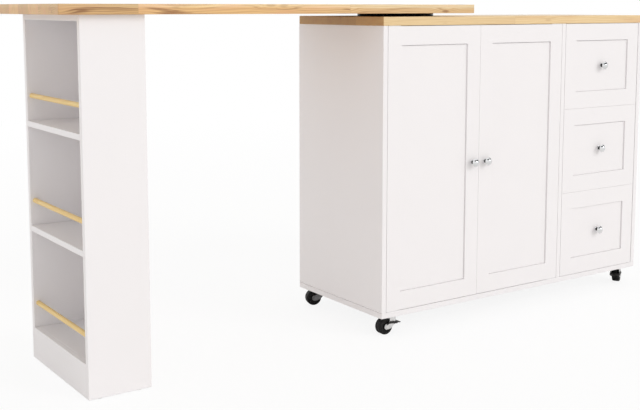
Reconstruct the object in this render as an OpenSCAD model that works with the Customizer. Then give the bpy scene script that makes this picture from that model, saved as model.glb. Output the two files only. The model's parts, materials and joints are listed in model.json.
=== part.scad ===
// Extendable kitchen island: a wheeled cabinet whose second worktop turns out on a turntable and
// rests on an open shelf tower. Sizes are in millimetres. While a piece is drawn, X runs along the
// cabinet from its left end, Y runs back from its front face and Z rises from the floor. set_out()
// then moves the whole set so that the origin lies on the floor under the middle of the island.

/* [Overall] */
// Height of the upper leaf above the floor
overall_h = 950; // [900:5:1000]
// Length of the cabinet
cab_w = 1098; // [1090:2:1110]
// Depth of the cabinet, front face to back edge
cab_d = 425; // [415:5:460]
// Height of the cabinet's underside above the floor
base_h = 56; // [56:1:62]

/* [Tops] */
// Thickness of the lower worktop
worktop_t = 25; // [18:1:30]
// Thickness of the turning leaf
leaf_t = 25; // [18:1:30]
// Overhang of the leaf past the worktop's front and rear edges
leaf_proud = 1.5; // [0:0.5:6]
// Leaf length on the cabinet's side of the pivot
leaf_short = 127; // [120:1:180]
// Corner radius of both tops, seen from above
top_corner_r = 3; // [1:0.5:8]
// Distance of the pivot from the cabinet's left end
pivot_x = 210; // [200:1:230]
// Gap between the tower and the cabinet's far corners as the leaf turns past them
swing_gap = 7; // [5:1:20]

/* [Carcass] */
// Thickness of the cabinet's boards
board_t = 16; // [15:1:18]
// Thickness of the cabinet's back
back_t = 12; // [8:1:15]
// Distance of the back from the cabinet's rear edges
back_inset = 4; // [2:1:10]
// Set-back of the top board from the front face
top_board_setback = 24; // [22:1:40]
// Set-back of the inner shelf from the front face
shelf_setback = 30; // [25:1:60]
// Height of the inner shelf's underside above the bottom board
shelf_up = 398; // [330:2:460]
// Gap between the inner shelf and the boards around it
shelf_gap = 0.5; // [0.3:0.1:1]

/* [Doors and drawer fronts] */
// Gap around every front
front_gap = 1.5; // [1.5:0.5:3]
// Thickness of the fronts
front_t = 16; // [15:1:18]
// Width of the fronts' upright frame members
stile_w = 50; // [44:1:60]
// Height of the fronts' cross members
rail_w = 54; // [48:1:60]
// Depth of the recessed field
recess = 4.5; // [3:0.5:8]

/* [Knobs] */
// Diameter of a knob's head
knob_d = 26; // [22:1:30]
// Projection of a knob from the front
knob_l = 24; // [20:1:28]
// Diameter of a knob's foot
knob_foot_d = 15; // [12:1:18]
// Diameter of a knob's neck
knob_neck_d = 9; // [8:1:11]
// Diameter of the screw that holds a knob
knob_screw_d = 4; // [3:0.5:5]

/* [Door pivots] */
// Pivot pin's distance from the door's outer edge
pivot_in = 10; // [8:1:14]
// Pivot pin's distance behind the front face
pivot_back = 5; // [5:0.5:6]
// Diameter of a pivot pin
pivot_pin_d = 5; // [4:0.5:5]
// Length of a pivot pin above its plate
pivot_pin_l = 9; // [6:1:12]
// Outer diameter of a pivot bush
bush_d = 8.6; // [8:0.2:9]
// Thickness of a pivot plate
pivot_plate_t = 1.2; // [0.8:0.1:1.4]
// Length of a pivot plate
pivot_plate_w = 44; // [30:1:60]

/* [Door catches] */
// Length of a magnetic catch
catch_w = 40; // [30:1:50]
// Height of a magnetic catch
catch_h = 13; // [10:1:16]
// Thickness of a strike plate
strike_t = 1; // [0.8:0.1:1.2]

/* [Drawers] */
// Height of a drawer's walls
drawer_wall_h = 190; // [120:5:200]
// Thickness of a drawer's walls
drawer_wall_t = 12; // [10:1:15]
// Length of a drawer's side walls
drawer_l = 350; // [300:10:370]
// Height of a drawer's walls above the lower edge of its front
drawer_lift = 22; // [16:1:40]
// Thickness of a drawer's bottom
drawer_floor_t = 4; // [3:0.5:6]
// Height of the bottom above the lower edges of the walls
drawer_floor_up = 10; // [8:1:20]
// Depth of the grooves that hold the bottom
groove = 5; // [3:0.5:6]
// Width of a drawer slide, wall to wall
slide_w = 12.5; // [12.5:0.5:13]
// Height of the slide's outer channel
slide_h = 35; // [30:1:45]
// Height of the slide's inner channel
slide_inner_h = 25; // [20:1:25]
// Sheet thickness of the slides
slide_t = 1.2; // [1:0.1:1.4]
// Height of the slide's middle above the lower edges of the walls
slide_up = 60; // [40:5:90]

/* [Turntable] */
// Diameter of the turntable
turntable_d = 230; // [200:5:235]
// Height of the turntable
turntable_h = 9; // [9:0.5:12]
// Thickness of each turntable plate
turntable_plate_t = 3.4; // [3:0.1:3.5]
// Diameter of a turntable ball
ball_d = 5; // [5:0.1:5.4]
// Number of turntable balls
ball_count = 24; // [12:1:36]
// Diameter of the circle that the balls run on
race_d = 190; // [170:5:190]
// Diameter of the central spigot
spigot_d = 24; // [16:1:40]
// Thickness of the ball cage
cage_t = 1; // [0.8:0.1:1.2]
// Width of the ball cage's ring
cage_w = 10; // [9:1:14]
// Diameter of the screws that hold the turntable's plates
plate_screw_d = 4; // [3:0.5:5]
// Length of those screws in the tops
plate_screw_l = 12; // [8:1:14]
// Number of screws in each plate
plate_screw_count = 6; // [4:1:8]
// Diameter of the circle that the screws stand on
plate_screw_ring_d = 130; // [90:5:140]

/* [Shelf tower] */
// Width of the tower, along the leaf
tower_w = 165; // [150:1:166]
// Depth of the tower, across the leaf
tower_d = 390; // [360:5:410]
// Thickness of the tower's boards
tower_t = 15; // [12:1:18]
// Thickness of the tower's inner panel
tower_inner_t = 12; // [6:1:15]
// Overhang of the leaf past the tower's open side
tower_overhang = 56; // [56:1:95]
// Height of the lowest shelf's upper face
plinth_h = 87; // [70:1:120]
// Height of the glides
glide_h = 2; // [1:0.5:8]
// Diameter of the glides
glide_d = 12; // [10:1:14]
// Distance of the glides from the tower's open side and from its inner panel's outer face
glide_inset = 30; // [10:1:60]
// Diameter of the nail in a glide
glide_nail_d = 3; // [2:0.5:4]
// Length of the nail in a glide
glide_nail_l = 12; // [8:1:20]
// Diameter of the dowel rails
rail_d = 13; // [10:1:16]
// Height of a rail's axis above its shelf
rail_rise = 66; // [50:1:90]
// Distance of a rail's axis from the open side
rail_inset = 13; // [11:1:25]
// Depth of a rail's socket in each side panel
rail_socket = 8; // [5:1:10]

/* [Shelf pins] */
// Diameter of a shelf pin
shelf_pin_d = 5; // [4:0.5:6]
// Depth of the pin holes
pin_hole_l = 10; // [8:1:12]
// Spacing of the pin holes, one above the other
pin_pitch = 64; // [32:1:64]
// Distance of the pin holes from the shelf's front and rear edges
pin_edge = 45; // [30:1:80]

/* [Casters] */
// Diameter of a caster wheel
wheel_d = 48; // [44:1:48]
// Width of a caster wheel
wheel_w = 25; // [20:1:26]
// Shoulder radius of the tyre
tyre_r = 5; // [3:0.5:7]
// Distance of the wheel's axle behind the swivel axis
trail = 20; // [20:1:22]
// Diameter of the axle
axle_d = 6; // [5:0.5:8]
// Diameter of the fork around the axle
fork_eye_d = 13; // [11:1:16]
// Sheet thickness of the fork
fork_t = 1.6; // [1.4:0.1:2]
// Gap between the wheel and each leg of the fork
fork_gap = 0.8; // [0.6:0.1:1.5]
// Half length of the fork's crown
crown_half = 12; // [10:0.5:14]
// Diameter of the crown's round middle
crown_d = 31; // [28:1:34]
// Outer radius of the bends between crown and legs
bend_r = 2.6; // [2.4:0.1:4]
// Diameter of the king pin
king_d = 8; // [6:0.5:9]
// Thickness of the caster's top plate
caster_plate_t = 2; // [1.5:0.1:2.5]
// Side of the caster's top plate
caster_plate_w = 46; // [42:1:56]
// Distance between the caster's screws
caster_screw_pitch = 34; // [32:1:36]
// Diameter of a caster screw
caster_screw_d = 3.8; // [3:0.2:4.2]
// Length of a caster screw in the board
caster_screw_l = 11; // [8:1:13]
// Swivel axis to the cabinet's nearest end
caster_end = 53; // [48:1:90]
// Swivel axis to the cabinet's front face and rear edge
caster_side = 32; // [30:1:60]
// Thickness of a brake pedal's arms
pedal_t = 2; // [1.5:0.1:2.5]
// Reach of a brake pedal ahead of the swivel axis
pedal_reach = 33; // [28:1:40]

/* [Hidden] */
$fn = 64;
run = 0.05;           // radial clearance of a running fit
seat = 0.3;           // clearance of a part that slides or turns past another
snug = 0.1;           // radial clearance of a fixed pin in its hole

white_paint = "#f2efee";
wood = "#e3c592";
dowel_wood = "#ecd189";
black = "#1d1b1c";
steel = "#b9bbbd";
chrome = "#dcdee0";

// heights
leaf_z = overall_h - leaf_t;
worktop_z = leaf_z - turntable_h - worktop_t;
bottom_top = base_h + board_t;

// fronts: three equal columns, two of doors and one of drawers
column_w = (cab_w - 3 * board_t - 6 * front_gap) / 3;
front_z = bottom_top + front_gap;
front_h = worktop_z - front_gap - front_z;
left_door_x = board_t + front_gap;
right_door_x = left_door_x + column_w + front_gap;
divider_x = right_door_x + column_w + front_gap;
drawer_x = divider_x + board_t + front_gap;
drawer_front_h = (front_h - 2 * front_gap) / 3;
back_y = cab_d - back_inset - back_t;
bay_w = cab_w - board_t - divider_x - board_t;

// drawers
drawer_wall_x = divider_x + board_t + slide_w;
drawer_wall_w = bay_w - 2 * slide_w;
slide_y = front_t + front_gap;
slide_l = drawer_l - front_gap;
groove_h = drawer_floor_t + seat;
slide_lip = 8;                       // width of the outer channel's lips
slide_curl = 4.2;                    // height of the curled edges
slide_inner_w = slide_w - 2.5;       // width of the inner channel's flanges

// leaf and tower: the tower stands just outside the circle that the cabinet's far corners reach
pivot_y = cab_d / 2;
swing_r = norm([cab_w - pivot_x, pivot_y]) + swing_gap;
tower_x1 = pivot_x - swing_r;
tower_x0 = tower_x1 - tower_w;
leaf_x0 = tower_x0 - tower_overhang;
leaf_x1 = pivot_x + leaf_short;
leaf_y0 = -leaf_proud;
leaf_d = cab_d + 2 * leaf_proud;
tower_y0 = (cab_d - tower_d) / 2;
tower_y1 = tower_y0 + tower_d;
tower_h = leaf_z - glide_h;
tower_inside_d = tower_d - 2 * tower_t;
tower_shelf_w = tower_w - tower_inner_t;
tower_top_z = leaf_z - tower_t;
tower_bay = (tower_top_z - plinth_h - 2 * tower_t) / 3;
shelf_tops = [for (i = [0 : 2]) plinth_h + i * (tower_bay + tower_t)];

// inner shelf and its pins
shelf_z = bottom_top + shelf_up;
tongue = [7, 9, 2];                  // support tongue of a shelf pin
pin_z = shelf_z - tongue.z - shelf_pin_d / 2 + 1;
pin_ys = [shelf_setback + pin_edge, back_y - shelf_gap - pin_edge];

// casters: place of the swivel axis, heading of the pedal's side, and whether it has a brake
caster_x = [caster_end, cab_w - caster_end];
caster_y = [caster_side, cab_d - caster_side];
heading_fl = 0;
heading_fr = 212;
heading_rl = -16;
heading_rr = 24;
axle_z = wheel_d / 2;
crown_z = wheel_d + 1;
crown_top = crown_z + fork_t;
plate_z = base_h - caster_plate_t;
leg_in = wheel_w / 2 + fork_gap;
leg_out = leg_in + fork_t;
king_head = [13, 2.4];               // diameter and thickness of the king pin's head
screw_head = [7.2, 1.8];             // diameter and thickness of a caster screw's head
stud_at = [-4, axle_z + 10];         // pedal's pivot beside the wheel, from the swivel axis
stud_d = 5;
arm_in = leg_out + seat;
arm_out = arm_in + pedal_t;

// the box that the island fills, from which the origin is taken
x_low = leaf_x0;
x_high = cab_w;
y_low = -knob_l;
y_high = leaf_y0 + leaf_d;

// Moves a drawn piece into the island's own frame
module set_out()
  translate([-(x_low + x_high) / 2, -(y_low + y_high) / 2, 0]) children();

// A square-edged board from its low corner and its size
module board(at, size)
  translate(at) cube(size);

// A top seen from above: a rectangle with rounded corners
module top_outline(w, d, r) {
  translate([r, 0]) square([w - 2 * r, d]);
  translate([0, r]) square([w, d - 2 * r]);
  for (x = [r, w - r], y = [r, d - r]) translate([x, y]) circle(r);
}

// Copies along the four corners of the cabinet's underside
module at_casters()
  for (x = caster_x, y = caster_y) translate([x, y, 0]) children();

// The four screw places of one caster plate
module at_caster_screws()
  for (x = [-1, 1], y = [-1, 1])
    translate([x * caster_screw_pitch / 2, y * caster_screw_pitch / 2, 0]) children();

// Cabinet

module worktop()
  color(wood) set_out() difference() {
    translate([0, 0, worktop_z]) linear_extrude(worktop_t) top_outline(cab_w, cab_d, top_corner_r);
    at_plate_screws(worktop_z + worktop_t + turntable_plate_t, 1) plate_screw(snug);
  }

// Blind holes for shelf pins, bored into a board's face at x towards dir
module pin_holes(x, dir)
  for (y = pin_ys, i = [-1 : 1])
    translate([x, y, pin_z + i * pin_pitch]) rotate([0, dir * 90, 0])
      cylinder(d = shelf_pin_d + 2 * snug, h = pin_hole_l);

module side_panel_left()
  color(white_paint) set_out() difference() {
    board([0, 0, bottom_top], [board_t, cab_d, worktop_z - bottom_top]);
    pin_holes(board_t, -1);
  }

module side_panel_right()
  color(white_paint) set_out()
    board([cab_w - board_t, 0, bottom_top], [board_t, cab_d, worktop_z - bottom_top]);

// The divider is notched at its top rear so that the top board runs over it
module divider_panel()
  color(white_paint) set_out() difference() {
    board([divider_x, 0, bottom_top], [board_t, back_y, worktop_z - bottom_top]);
    board([divider_x - 1, top_board_setback, worktop_z - board_t],
          [board_t + 2, back_y, board_t + 1]);
    pin_holes(divider_x, 1);
  }

module bottom_board()
  color(white_paint) set_out() difference() {
    board([0, 0, base_h], [cab_w, cab_d, board_t]);
    at_casters() at_caster_screws()
      translate([0, 0, base_h - 1]) cylinder(d = caster_screw_d + 2 * snug, h = caster_screw_l + 2);
  }

module top_board()
  color(white_paint) set_out()
    board([board_t, top_board_setback, worktop_z - board_t],
          [cab_w - 2 * board_t, back_y - top_board_setback, board_t]);

module back_panel()
  color(white_paint) set_out()
    board([board_t, back_y, bottom_top],
          [cab_w - 2 * board_t, back_t, worktop_z - bottom_top]);

module inner_shelf()
  color(white_paint) set_out()
    board([board_t + shelf_gap, shelf_setback, shelf_z],
          [divider_x - board_t - 2 * shelf_gap, back_y - shelf_gap - shelf_setback, board_t]);

// A shelf pin: a stem in the board and a flat tongue under the shelf, on the side that dir faces
module shelf_pin(dir) {
  stem_l = pin_hole_l - seat;
  rotate([0, -dir * 90, 0]) cylinder(d = shelf_pin_d, h = stem_l);
  translate([dir > 0 ? 0 : -tongue.x, -tongue.y / 2, shelf_z - tongue.z - pin_z]) cube(tongue);
  translate([dir > 0 ? 0 : -1.5, -tongue.y / 2, -shelf_pin_d / 2])
    cube([1.5, tongue.y, shelf_z - pin_z + shelf_pin_d / 2]);
}

module shelf_pins()
  color(steel) set_out() for (y = pin_ys) {
    translate([board_t, y, pin_z]) shelf_pin(1);
    translate([divider_x, y, pin_z]) shelf_pin(-1);
  }

// Section of the slide's outer channel, with the board at x = 0
module outer_channel() {
  for (m = [0, 1]) mirror([0, m]) {
    square([slide_t, slide_h / 2]);
    translate([0, slide_h / 2 - slide_t]) square([slide_lip, slide_t]);
    translate([slide_lip - slide_t, slide_h / 2 - slide_curl]) square([slide_t, slide_curl]);
  }
}

// Section of the slide's inner channel, with the drawer's wall at x = slide_w
module inner_channel() {
  for (m = [0, 1]) mirror([0, m]) {
    translate([slide_w - slide_t, 0]) square([slide_t, slide_inner_h / 2]);
    translate([slide_w - slide_inner_w, slide_inner_h / 2 - slide_t])
      square([slide_inner_w, slide_t]);
    translate([slide_w - slide_inner_w, slide_inner_h / 2 - slide_curl])
      square([slide_t, slide_curl]);
  }
}

// Lays a slide's section along the drawer's travel, on both walls of the bay of drawer n
module slide_pair(n) {
  z = drawer_z(n) + drawer_lift + slide_up;
  for (m = [0, 1])
    translate([divider_x + board_t + m * bay_w, slide_y, z]) mirror([m, 0, 0])
      translate([0, slide_l, 0]) rotate([90, 0, 0]) linear_extrude(slide_l) children();
}

module drawer_rails()
  color(steel) set_out() for (n = [0 : 2]) slide_pair(n) outer_channel();

// Doors

// Places of the two door pivots: x and the side to which the door reaches
function door_pivots() = [[left_door_x + pivot_in, 1], [right_door_x + column_w - pivot_in, -1]];

// A pivot plate with its pin, standing on z = 0
module pivot_plate(dir) {
  plate_d = front_t - 2;
  translate([dir > 0 ? -pivot_in + 1 : pivot_in - 1 - pivot_plate_w, 1 - pivot_back, 0])
    cube([pivot_plate_w, plate_d, pivot_plate_t]);
  cylinder(d = pivot_pin_d, h = pivot_plate_t + pivot_pin_l);
}

module door_pivot_plates()
  color(steel) set_out() for (p = door_pivots()) {
    translate([p[0], pivot_back, bottom_top]) pivot_plate(p[1]);
    translate([p[0], pivot_back, worktop_z]) mirror([0, 0, 1]) pivot_plate(p[1]);
  }

// Places of the catches: their low x under each door's opening edge
function catch_xs() = [right_door_x - front_gap - stile_w, right_door_x + stile_w - catch_w];

module door_catches()
  color(white_paint) set_out() for (x = catch_xs())
    board([x, front_t + strike_t + seat, worktop_z - board_t - catch_h],
          [catch_w, 30, catch_h]);

// A front with a recessed field, from its low corner and size
module framed_front(at, w, h)
  translate(at) difference() {
    cube([w, front_t, h]);
    translate([stile_w, -1, rail_w]) cube([w - 2 * stile_w, recess + 1, h - 2 * rail_w]);
  }

// A hole through a front for a knob's screw
module knob_hole(x, z)
  translate([x, -1, z]) rotate([-90, 0, 0]) cylinder(d = knob_screw_d + 0.8, h = front_t + 2);

// A knob on a surface whose front is at y, held by a screw through a board of thickness t
module knob(x, y, z, t) {
  r = knob_d / 2;
  rim_z = knob_l - 9;
  crown_r = (r * r + 49) / 14;       // sphere that passes the rim and rises 7 above it
  translate([x, y, z]) rotate([90, 0, 0]) {
    color(chrome) difference() {
      rotate_extrude() {
        square([knob_foot_d / 2, 1.6]);
        translate([0, 1.6]) polygon([[0, 0], [knob_foot_d / 2 - 1.5, 0], [knob_neck_d / 2, 3],
                                     [knob_neck_d / 2, rim_z - 4.6], [0, rim_z - 1.6]]);
        polygon([[0, rim_z - 4], [knob_neck_d / 2, rim_z - 4], [r - 1, rim_z], [r, rim_z + 1],
                 [r, rim_z + 2], [0, rim_z + 2]]);
        intersection() {
          translate([0, knob_l - crown_r]) circle(crown_r);
          translate([0, rim_z + 2]) square([r, 9]);
        }
      }
      translate([0, 0, -1]) cylinder(d = knob_screw_d + 2 * snug, h = 10);
    }
    color(steel) translate([0, 0, -t]) {
      cylinder(d = knob_screw_d, h = t + 8);
      translate([0, 0, -2.2]) cylinder(d = 9, h = 2.2);
    }
  }
}

module pivoted_door(x, side)
  color(white_paint) set_out() difference() {
    framed_front([x, 0, front_z], column_w, front_h);
    translate([side > 0 ? x + pivot_in : x + column_w - pivot_in, pivot_back, 0])
      for (z = [front_z - 1, front_z + front_h - pivot_pin_l - 1])
        translate([0, 0, z]) cylinder(d = bush_d + 2 * snug, h = pivot_pin_l + 2);
    knob_hole(door_knob_x(side), knob_z());
  }

function door_knob_x(side) =
  side > 0 ? left_door_x + column_w - stile_w / 2 : right_door_x + stile_w / 2;
function knob_z() = front_z + front_h / 2;

// Two bushes in the door's edges and the strike plate behind its opening stile
module door_fittings(n) {
  p = door_pivots()[n];
  color(white_paint) for (z = [front_z, front_z + front_h - pivot_pin_l - 1])
    translate([p[0], pivot_back, z]) difference() {
      cylinder(d = bush_d, h = pivot_pin_l + 1);
      translate([0, 0, -1]) cylinder(d = pivot_pin_d + 2 * run, h = pivot_pin_l + 3);
    }
  color(steel) board([catch_xs()[n] + 2, front_t, worktop_z - board_t - catch_h + 1],
                     [catch_w - 4, strike_t, catch_h - 2]);
}

module left_door() pivoted_door(left_door_x, 1);
module right_door() pivoted_door(right_door_x, -1);
module left_door_knob() set_out() knob(door_knob_x(1), 0, knob_z(), front_t);
module right_door_knob() set_out() knob(door_knob_x(-1), 0, knob_z(), front_t);
module left_door_fittings() set_out() door_fittings(0);
module right_door_fittings() set_out() door_fittings(1);

// Drawers, numbered from the lowest

function drawer_z(n) = front_z + n * (drawer_front_h + front_gap);

// The slot in which a drawer's bottom sits, cut from every wall around it
module floor_slot(n)
  board([drawer_wall_x + drawer_wall_t - groove, front_t - groove,
         drawer_z(n) + drawer_lift + drawer_floor_up],
        [drawer_wall_w - 2 * drawer_wall_t + 2 * groove, drawer_l - drawer_wall_t + 2 * groove,
         groove_h]);

module drawer_front(n)
  color(white_paint) set_out() difference() {
    framed_front([drawer_x, 0, drawer_z(n)], column_w, drawer_front_h);
    floor_slot(n);
    knob_hole(drawer_x + column_w / 2, drawer_z(n) + drawer_front_h / 2);
  }

module drawer_walls(n)
  color(white_paint) set_out() difference() {
    translate([drawer_wall_x, front_t, drawer_z(n) + drawer_lift]) {
      for (x = [0, drawer_wall_w - drawer_wall_t])
        board([x, 0, 0], [drawer_wall_t, drawer_l, drawer_wall_h]);
      board([drawer_wall_t, drawer_l - drawer_wall_t, 0],
            [drawer_wall_w - 2 * drawer_wall_t, drawer_wall_t, drawer_wall_h]);
    }
    floor_slot(n);
  }

module drawer_floor(n)
  color(white_paint) set_out()
    board([drawer_wall_x + drawer_wall_t - groove + seat, front_t - groove + seat,
           drawer_z(n) + drawer_lift + drawer_floor_up],
          [drawer_wall_w - 2 * drawer_wall_t + 2 * (groove - seat),
           drawer_l - drawer_wall_t + 2 * (groove - seat), drawer_floor_t]);

module drawer_knob(n)
  set_out() knob(drawer_x + column_w / 2, recess, drawer_z(n) + drawer_front_h / 2,
                 front_t - recess);

module drawer_slides(n)
  color(steel) set_out() slide_pair(n) inner_channel();

module bottom_drawer_front() drawer_front(0);
module bottom_drawer_walls() drawer_walls(0);
module bottom_drawer_floor() drawer_floor(0);
module bottom_drawer_knob() drawer_knob(0);
module bottom_drawer_slides() drawer_slides(0);
module middle_drawer_front() drawer_front(1);
module middle_drawer_walls() drawer_walls(1);
module middle_drawer_floor() drawer_floor(1);
module middle_drawer_knob() drawer_knob(1);
module middle_drawer_slides() drawer_slides(1);
module top_drawer_front() drawer_front(2);
module top_drawer_walls() drawer_walls(2);
module top_drawer_floor() drawer_floor(2);
module top_drawer_knob() drawer_knob(2);
module top_drawer_slides() drawer_slides(2);

// Turntable

race_z = worktop_z + worktop_t + turntable_h / 2;

// Places of the screws that hold a turntable plate, whose inner face is at z. Their heads face
// up on the lower plate (dir 1) and down on the upper one (dir -1)
module at_plate_screws(z, dir)
  for (i = [0 : plate_screw_count - 1])
    translate([pivot_x, pivot_y, z]) rotate(i * 360 / plate_screw_count)
      translate([plate_screw_ring_d / 2, 0, 0]) mirror([0, 0, dir > 0 ? 0 : 1]) children();

// A countersunk screw with its head's face at z = 0, or its hole with more room around it
module plate_screw(room = 0) {
  head_h = plate_screw_d / 2;
  translate([0, 0, -head_h])
    cylinder(d1 = plate_screw_d + 2 * room, d2 = 2 * plate_screw_d + 2 * room, h = head_h + room);
  translate([0, 0, -turntable_plate_t - plate_screw_l - room])
    cylinder(d = plate_screw_d + 2 * room, h = turntable_plate_t + plate_screw_l + room - head_h);
}

// The groove that the balls run in
module race()
  translate([pivot_x, pivot_y, race_z])
    rotate_extrude() translate([race_d / 2, 0]) circle(d = ball_d + 2 * seat);

module turntable_lower_plate() {
  inner_z = worktop_z + worktop_t + turntable_plate_t;
  color(black) set_out() difference() {
    translate([pivot_x, pivot_y, worktop_z + worktop_t]) difference() {
      cylinder(d = turntable_d, h = turntable_plate_t);
      translate([0, 0, -1]) cylinder(d = spigot_d + 2 * run, h = turntable_plate_t + 2);
    }
    race();
    at_plate_screws(inner_z, 1) plate_screw(snug);
  }
  color(black) set_out() at_plate_screws(inner_z, 1) plate_screw();
}

module turntable_upper_plate() {
  inner_z = leaf_z - turntable_plate_t;
  color(black) set_out() difference() {
    translate([pivot_x, pivot_y, 0]) {
      translate([0, 0, inner_z]) cylinder(d = turntable_d, h = turntable_plate_t);
      translate([0, 0, worktop_z + worktop_t + seat]) cylinder(d = spigot_d, h = turntable_h - seat);
    }
    race();
    at_plate_screws(inner_z, -1) plate_screw(snug);
  }
  color(black) set_out() at_plate_screws(inner_z, -1) plate_screw();
}

module turntable_bearing()
  set_out() translate([pivot_x, pivot_y, race_z]) {
    color(steel) for (i = [0 : ball_count - 1])
      rotate(i * 360 / ball_count) translate([race_d / 2, 0, 0]) sphere(d = ball_d);
    color(black) difference() {
      translate([0, 0, -cage_t / 2]) cylinder(d = race_d + cage_w, h = cage_t);
      translate([0, 0, -cage_t]) cylinder(d = race_d - cage_w, h = 2 * cage_t);
      for (i = [0 : ball_count - 1])
        rotate(i * 360 / ball_count) translate([race_d / 2, 0, -cage_t])
          cylinder(d = ball_d + 2 * seat, h = 2 * cage_t);
    }
  }

module leaf_top()
  color(wood) set_out() difference() {
    translate([leaf_x0, leaf_y0, leaf_z])
      linear_extrude(leaf_t) top_outline(leaf_x1 - leaf_x0, leaf_d, top_corner_r);
    at_plate_screws(leaf_z - turntable_plate_t, -1) plate_screw(snug);
  }

// Shelf tower

// Places of the glides, under the front and rear panels
function glide_places() =
  [for (x = [tower_x0 + glide_inset, tower_x1 - glide_inset],
        y = [tower_y0 + tower_t / 2, tower_y1 - tower_t / 2]) [x, y]];

// The rails' axes, seen along the tower's depth
module at_rails()
  for (z = shelf_tops) translate([tower_x0 + rail_inset, 0, z + rail_rise]) children();

module tower_side(y)
  color(white_paint) set_out() difference() {
    board([tower_x0, y, glide_h], [tower_w, tower_t, tower_h]);
    at_rails() translate([0, tower_y0 + tower_t - rail_socket, 0]) rotate([-90, 0, 0])
      cylinder(d = rail_d + 2 * snug, h = tower_inside_d + 2 * rail_socket);
    for (p = glide_places()) translate([p.x, p.y, glide_h - 1])
      cylinder(d = glide_nail_d + 2 * snug, h = glide_nail_l + 1 + seat);
  }

module tower_front_panel() tower_side(tower_y0);
module tower_rear_panel() tower_side(tower_y1 - tower_t);

module tower_inner_panel()
  color(white_paint) set_out()
    board([tower_x1 - tower_inner_t, tower_y0 + tower_t, glide_h],
          [tower_inner_t, tower_inside_d, tower_h]);

// A board that lies between the tower's side panels, with its upper face at z
module tower_shelf(z, inset = 0)
  color(white_paint) set_out()
    board([tower_x0 + inset, tower_y0 + tower_t, z - tower_t],
          [tower_shelf_w - inset, tower_inside_d, tower_t]);

module tower_top_board() tower_shelf(leaf_z);
module tower_upper_shelf() tower_shelf(shelf_tops[2]);
module tower_lower_shelf() tower_shelf(shelf_tops[1]);
module tower_bottom_shelf() tower_shelf(shelf_tops[0], tower_t);

module tower_plinth()
  color(white_paint) set_out()
    board([tower_x0, tower_y0 + tower_t, glide_h],
          [tower_t, tower_inside_d, plinth_h - glide_h]);

module tower_rails()
  color(dowel_wood) set_out() at_rails()
    translate([0, tower_y0 + tower_t - rail_socket + seat, 0]) rotate([-90, 0, 0])
      cylinder(d = rail_d, h = tower_inside_d + 2 * (rail_socket - seat));

module tower_glides()
  color(white_paint) set_out() for (p = glide_places()) translate([p.x, p.y, 0]) {
    cylinder(d = glide_d, h = glide_h);
    cylinder(d = glide_nail_d, h = glide_h + glide_nail_l);
  }

// Casters

module caster_plates()
  color(steel) set_out() at_casters() {
    difference() {
      union() {
        translate([-caster_plate_w / 2, -caster_plate_w / 2, plate_z])
          cube([caster_plate_w, caster_plate_w, caster_plate_t]);
        translate([0, 0, crown_top + seat]) cylinder(d = crown_d - 4, h = plate_z - crown_top);
      }
      at_caster_screws() translate([0, 0, plate_z - 1])
        cylinder(d = caster_screw_d + 4 * snug, h = caster_plate_t + 2);
    }
    translate([0, 0, crown_z - seat]) cylinder(d = king_d, h = plate_z - crown_z);
    translate([0, 0, crown_z - seat - king_head[1]]) cylinder(d = king_head[0], h = king_head[1]);
  }

module caster_screws()
  color(steel) set_out() at_casters() at_caster_screws() {
    translate([0, 0, plate_z - screw_head[1]]) cylinder(d = screw_head[0], h = screw_head[1]);
    translate([0, 0, plate_z - 1]) cylinder(d = caster_screw_d, h = caster_plate_t + caster_screw_l);
  }

// One leg of the fork, seen from the side: swivel axis at x = 0, the axle behind it. The leg
// sweeps back to the eye round the axle, and is hollowed behind so that the wheel shows
module leg_outline() {
  r = fork_eye_d / 2;
  sweep_r = crown_half + trail - 4;
  sweep_z = axle_z - r + sweep_r;
  hollow_r = 0.65 * (crown_z - axle_z - r);
  translate([-trail, axle_z]) circle(r);
  translate([-crown_half, crown_z]) square([2 * crown_half, fork_t]);
  difference() {
    intersection() {
      union() {
        translate([crown_half - sweep_r, sweep_z]) circle(sweep_r);
        translate([crown_half - sweep_r, sweep_z]) square(sweep_r);
      }
      translate([-trail, 0]) square([trail + crown_half, crown_top]);
    }
    translate([-trail, axle_z + r + hollow_r]) circle(hollow_r);
    translate([-trail, axle_z + r + hollow_r]) square([trail - crown_half, sweep_r]);
  }
}

// A rectangle from the floor up, whose two upper corners are rounded
module arch(half, top, r) {
  translate([-half, 0]) square([2 * half, top - r]);
  translate([r - half, 0]) square([2 * (half - r), top]);
  for (y = [-1, 1]) translate([y * (half - r), top - r]) circle(r);
}

// Crown and legs as one bent sheet: its section across the wheel, cut to the legs' outline
module bent_sheet()
  intersection() {
    translate([-2 * trail, 0, 0]) rotate([90, 0, 90]) linear_extrude(4 * trail) difference() {
      arch(leg_out, crown_top, bend_r);
      arch(leg_in, crown_z, bend_r - fork_t);
    }
    translate([0, leg_out + 1, 0]) rotate([90, 0, 0])
      linear_extrude(2 * leg_out + 2) leg_outline();
  }

// The fork with its axle; a braked one has studs for the pedal on its legs
module fork(braked) {
  difference() {
    union() {
      translate([0, 0, crown_z]) cylinder(d = crown_d, h = fork_t);
      bent_sheet();
      if (braked) for (m = [0, 1]) mirror([0, m, 0])
        translate([stud_at[0], leg_in, stud_at[1]]) rotate([-90, 0, 0])
          cylinder(d = stud_d, h = arm_out - leg_in);
    }
    translate([0, 0, crown_z - 1]) cylinder(d = king_d + 2 * run, h = fork_t + 2);
    translate([-trail, -leg_out - 1, axle_z]) rotate([-90, 0, 0])
      cylinder(d = axle_d + 2 * snug, h = 2 * leg_out + 2);
  }
  translate([-trail, -leg_out, axle_z]) rotate([-90, 0, 0]) {
    cylinder(d = axle_d, h = 2 * leg_out);
    for (y = [-1.2, 2 * leg_out]) translate([0, 0, y]) cylinder(d = axle_d + 3, h = 1.2);
  }
}

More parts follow.
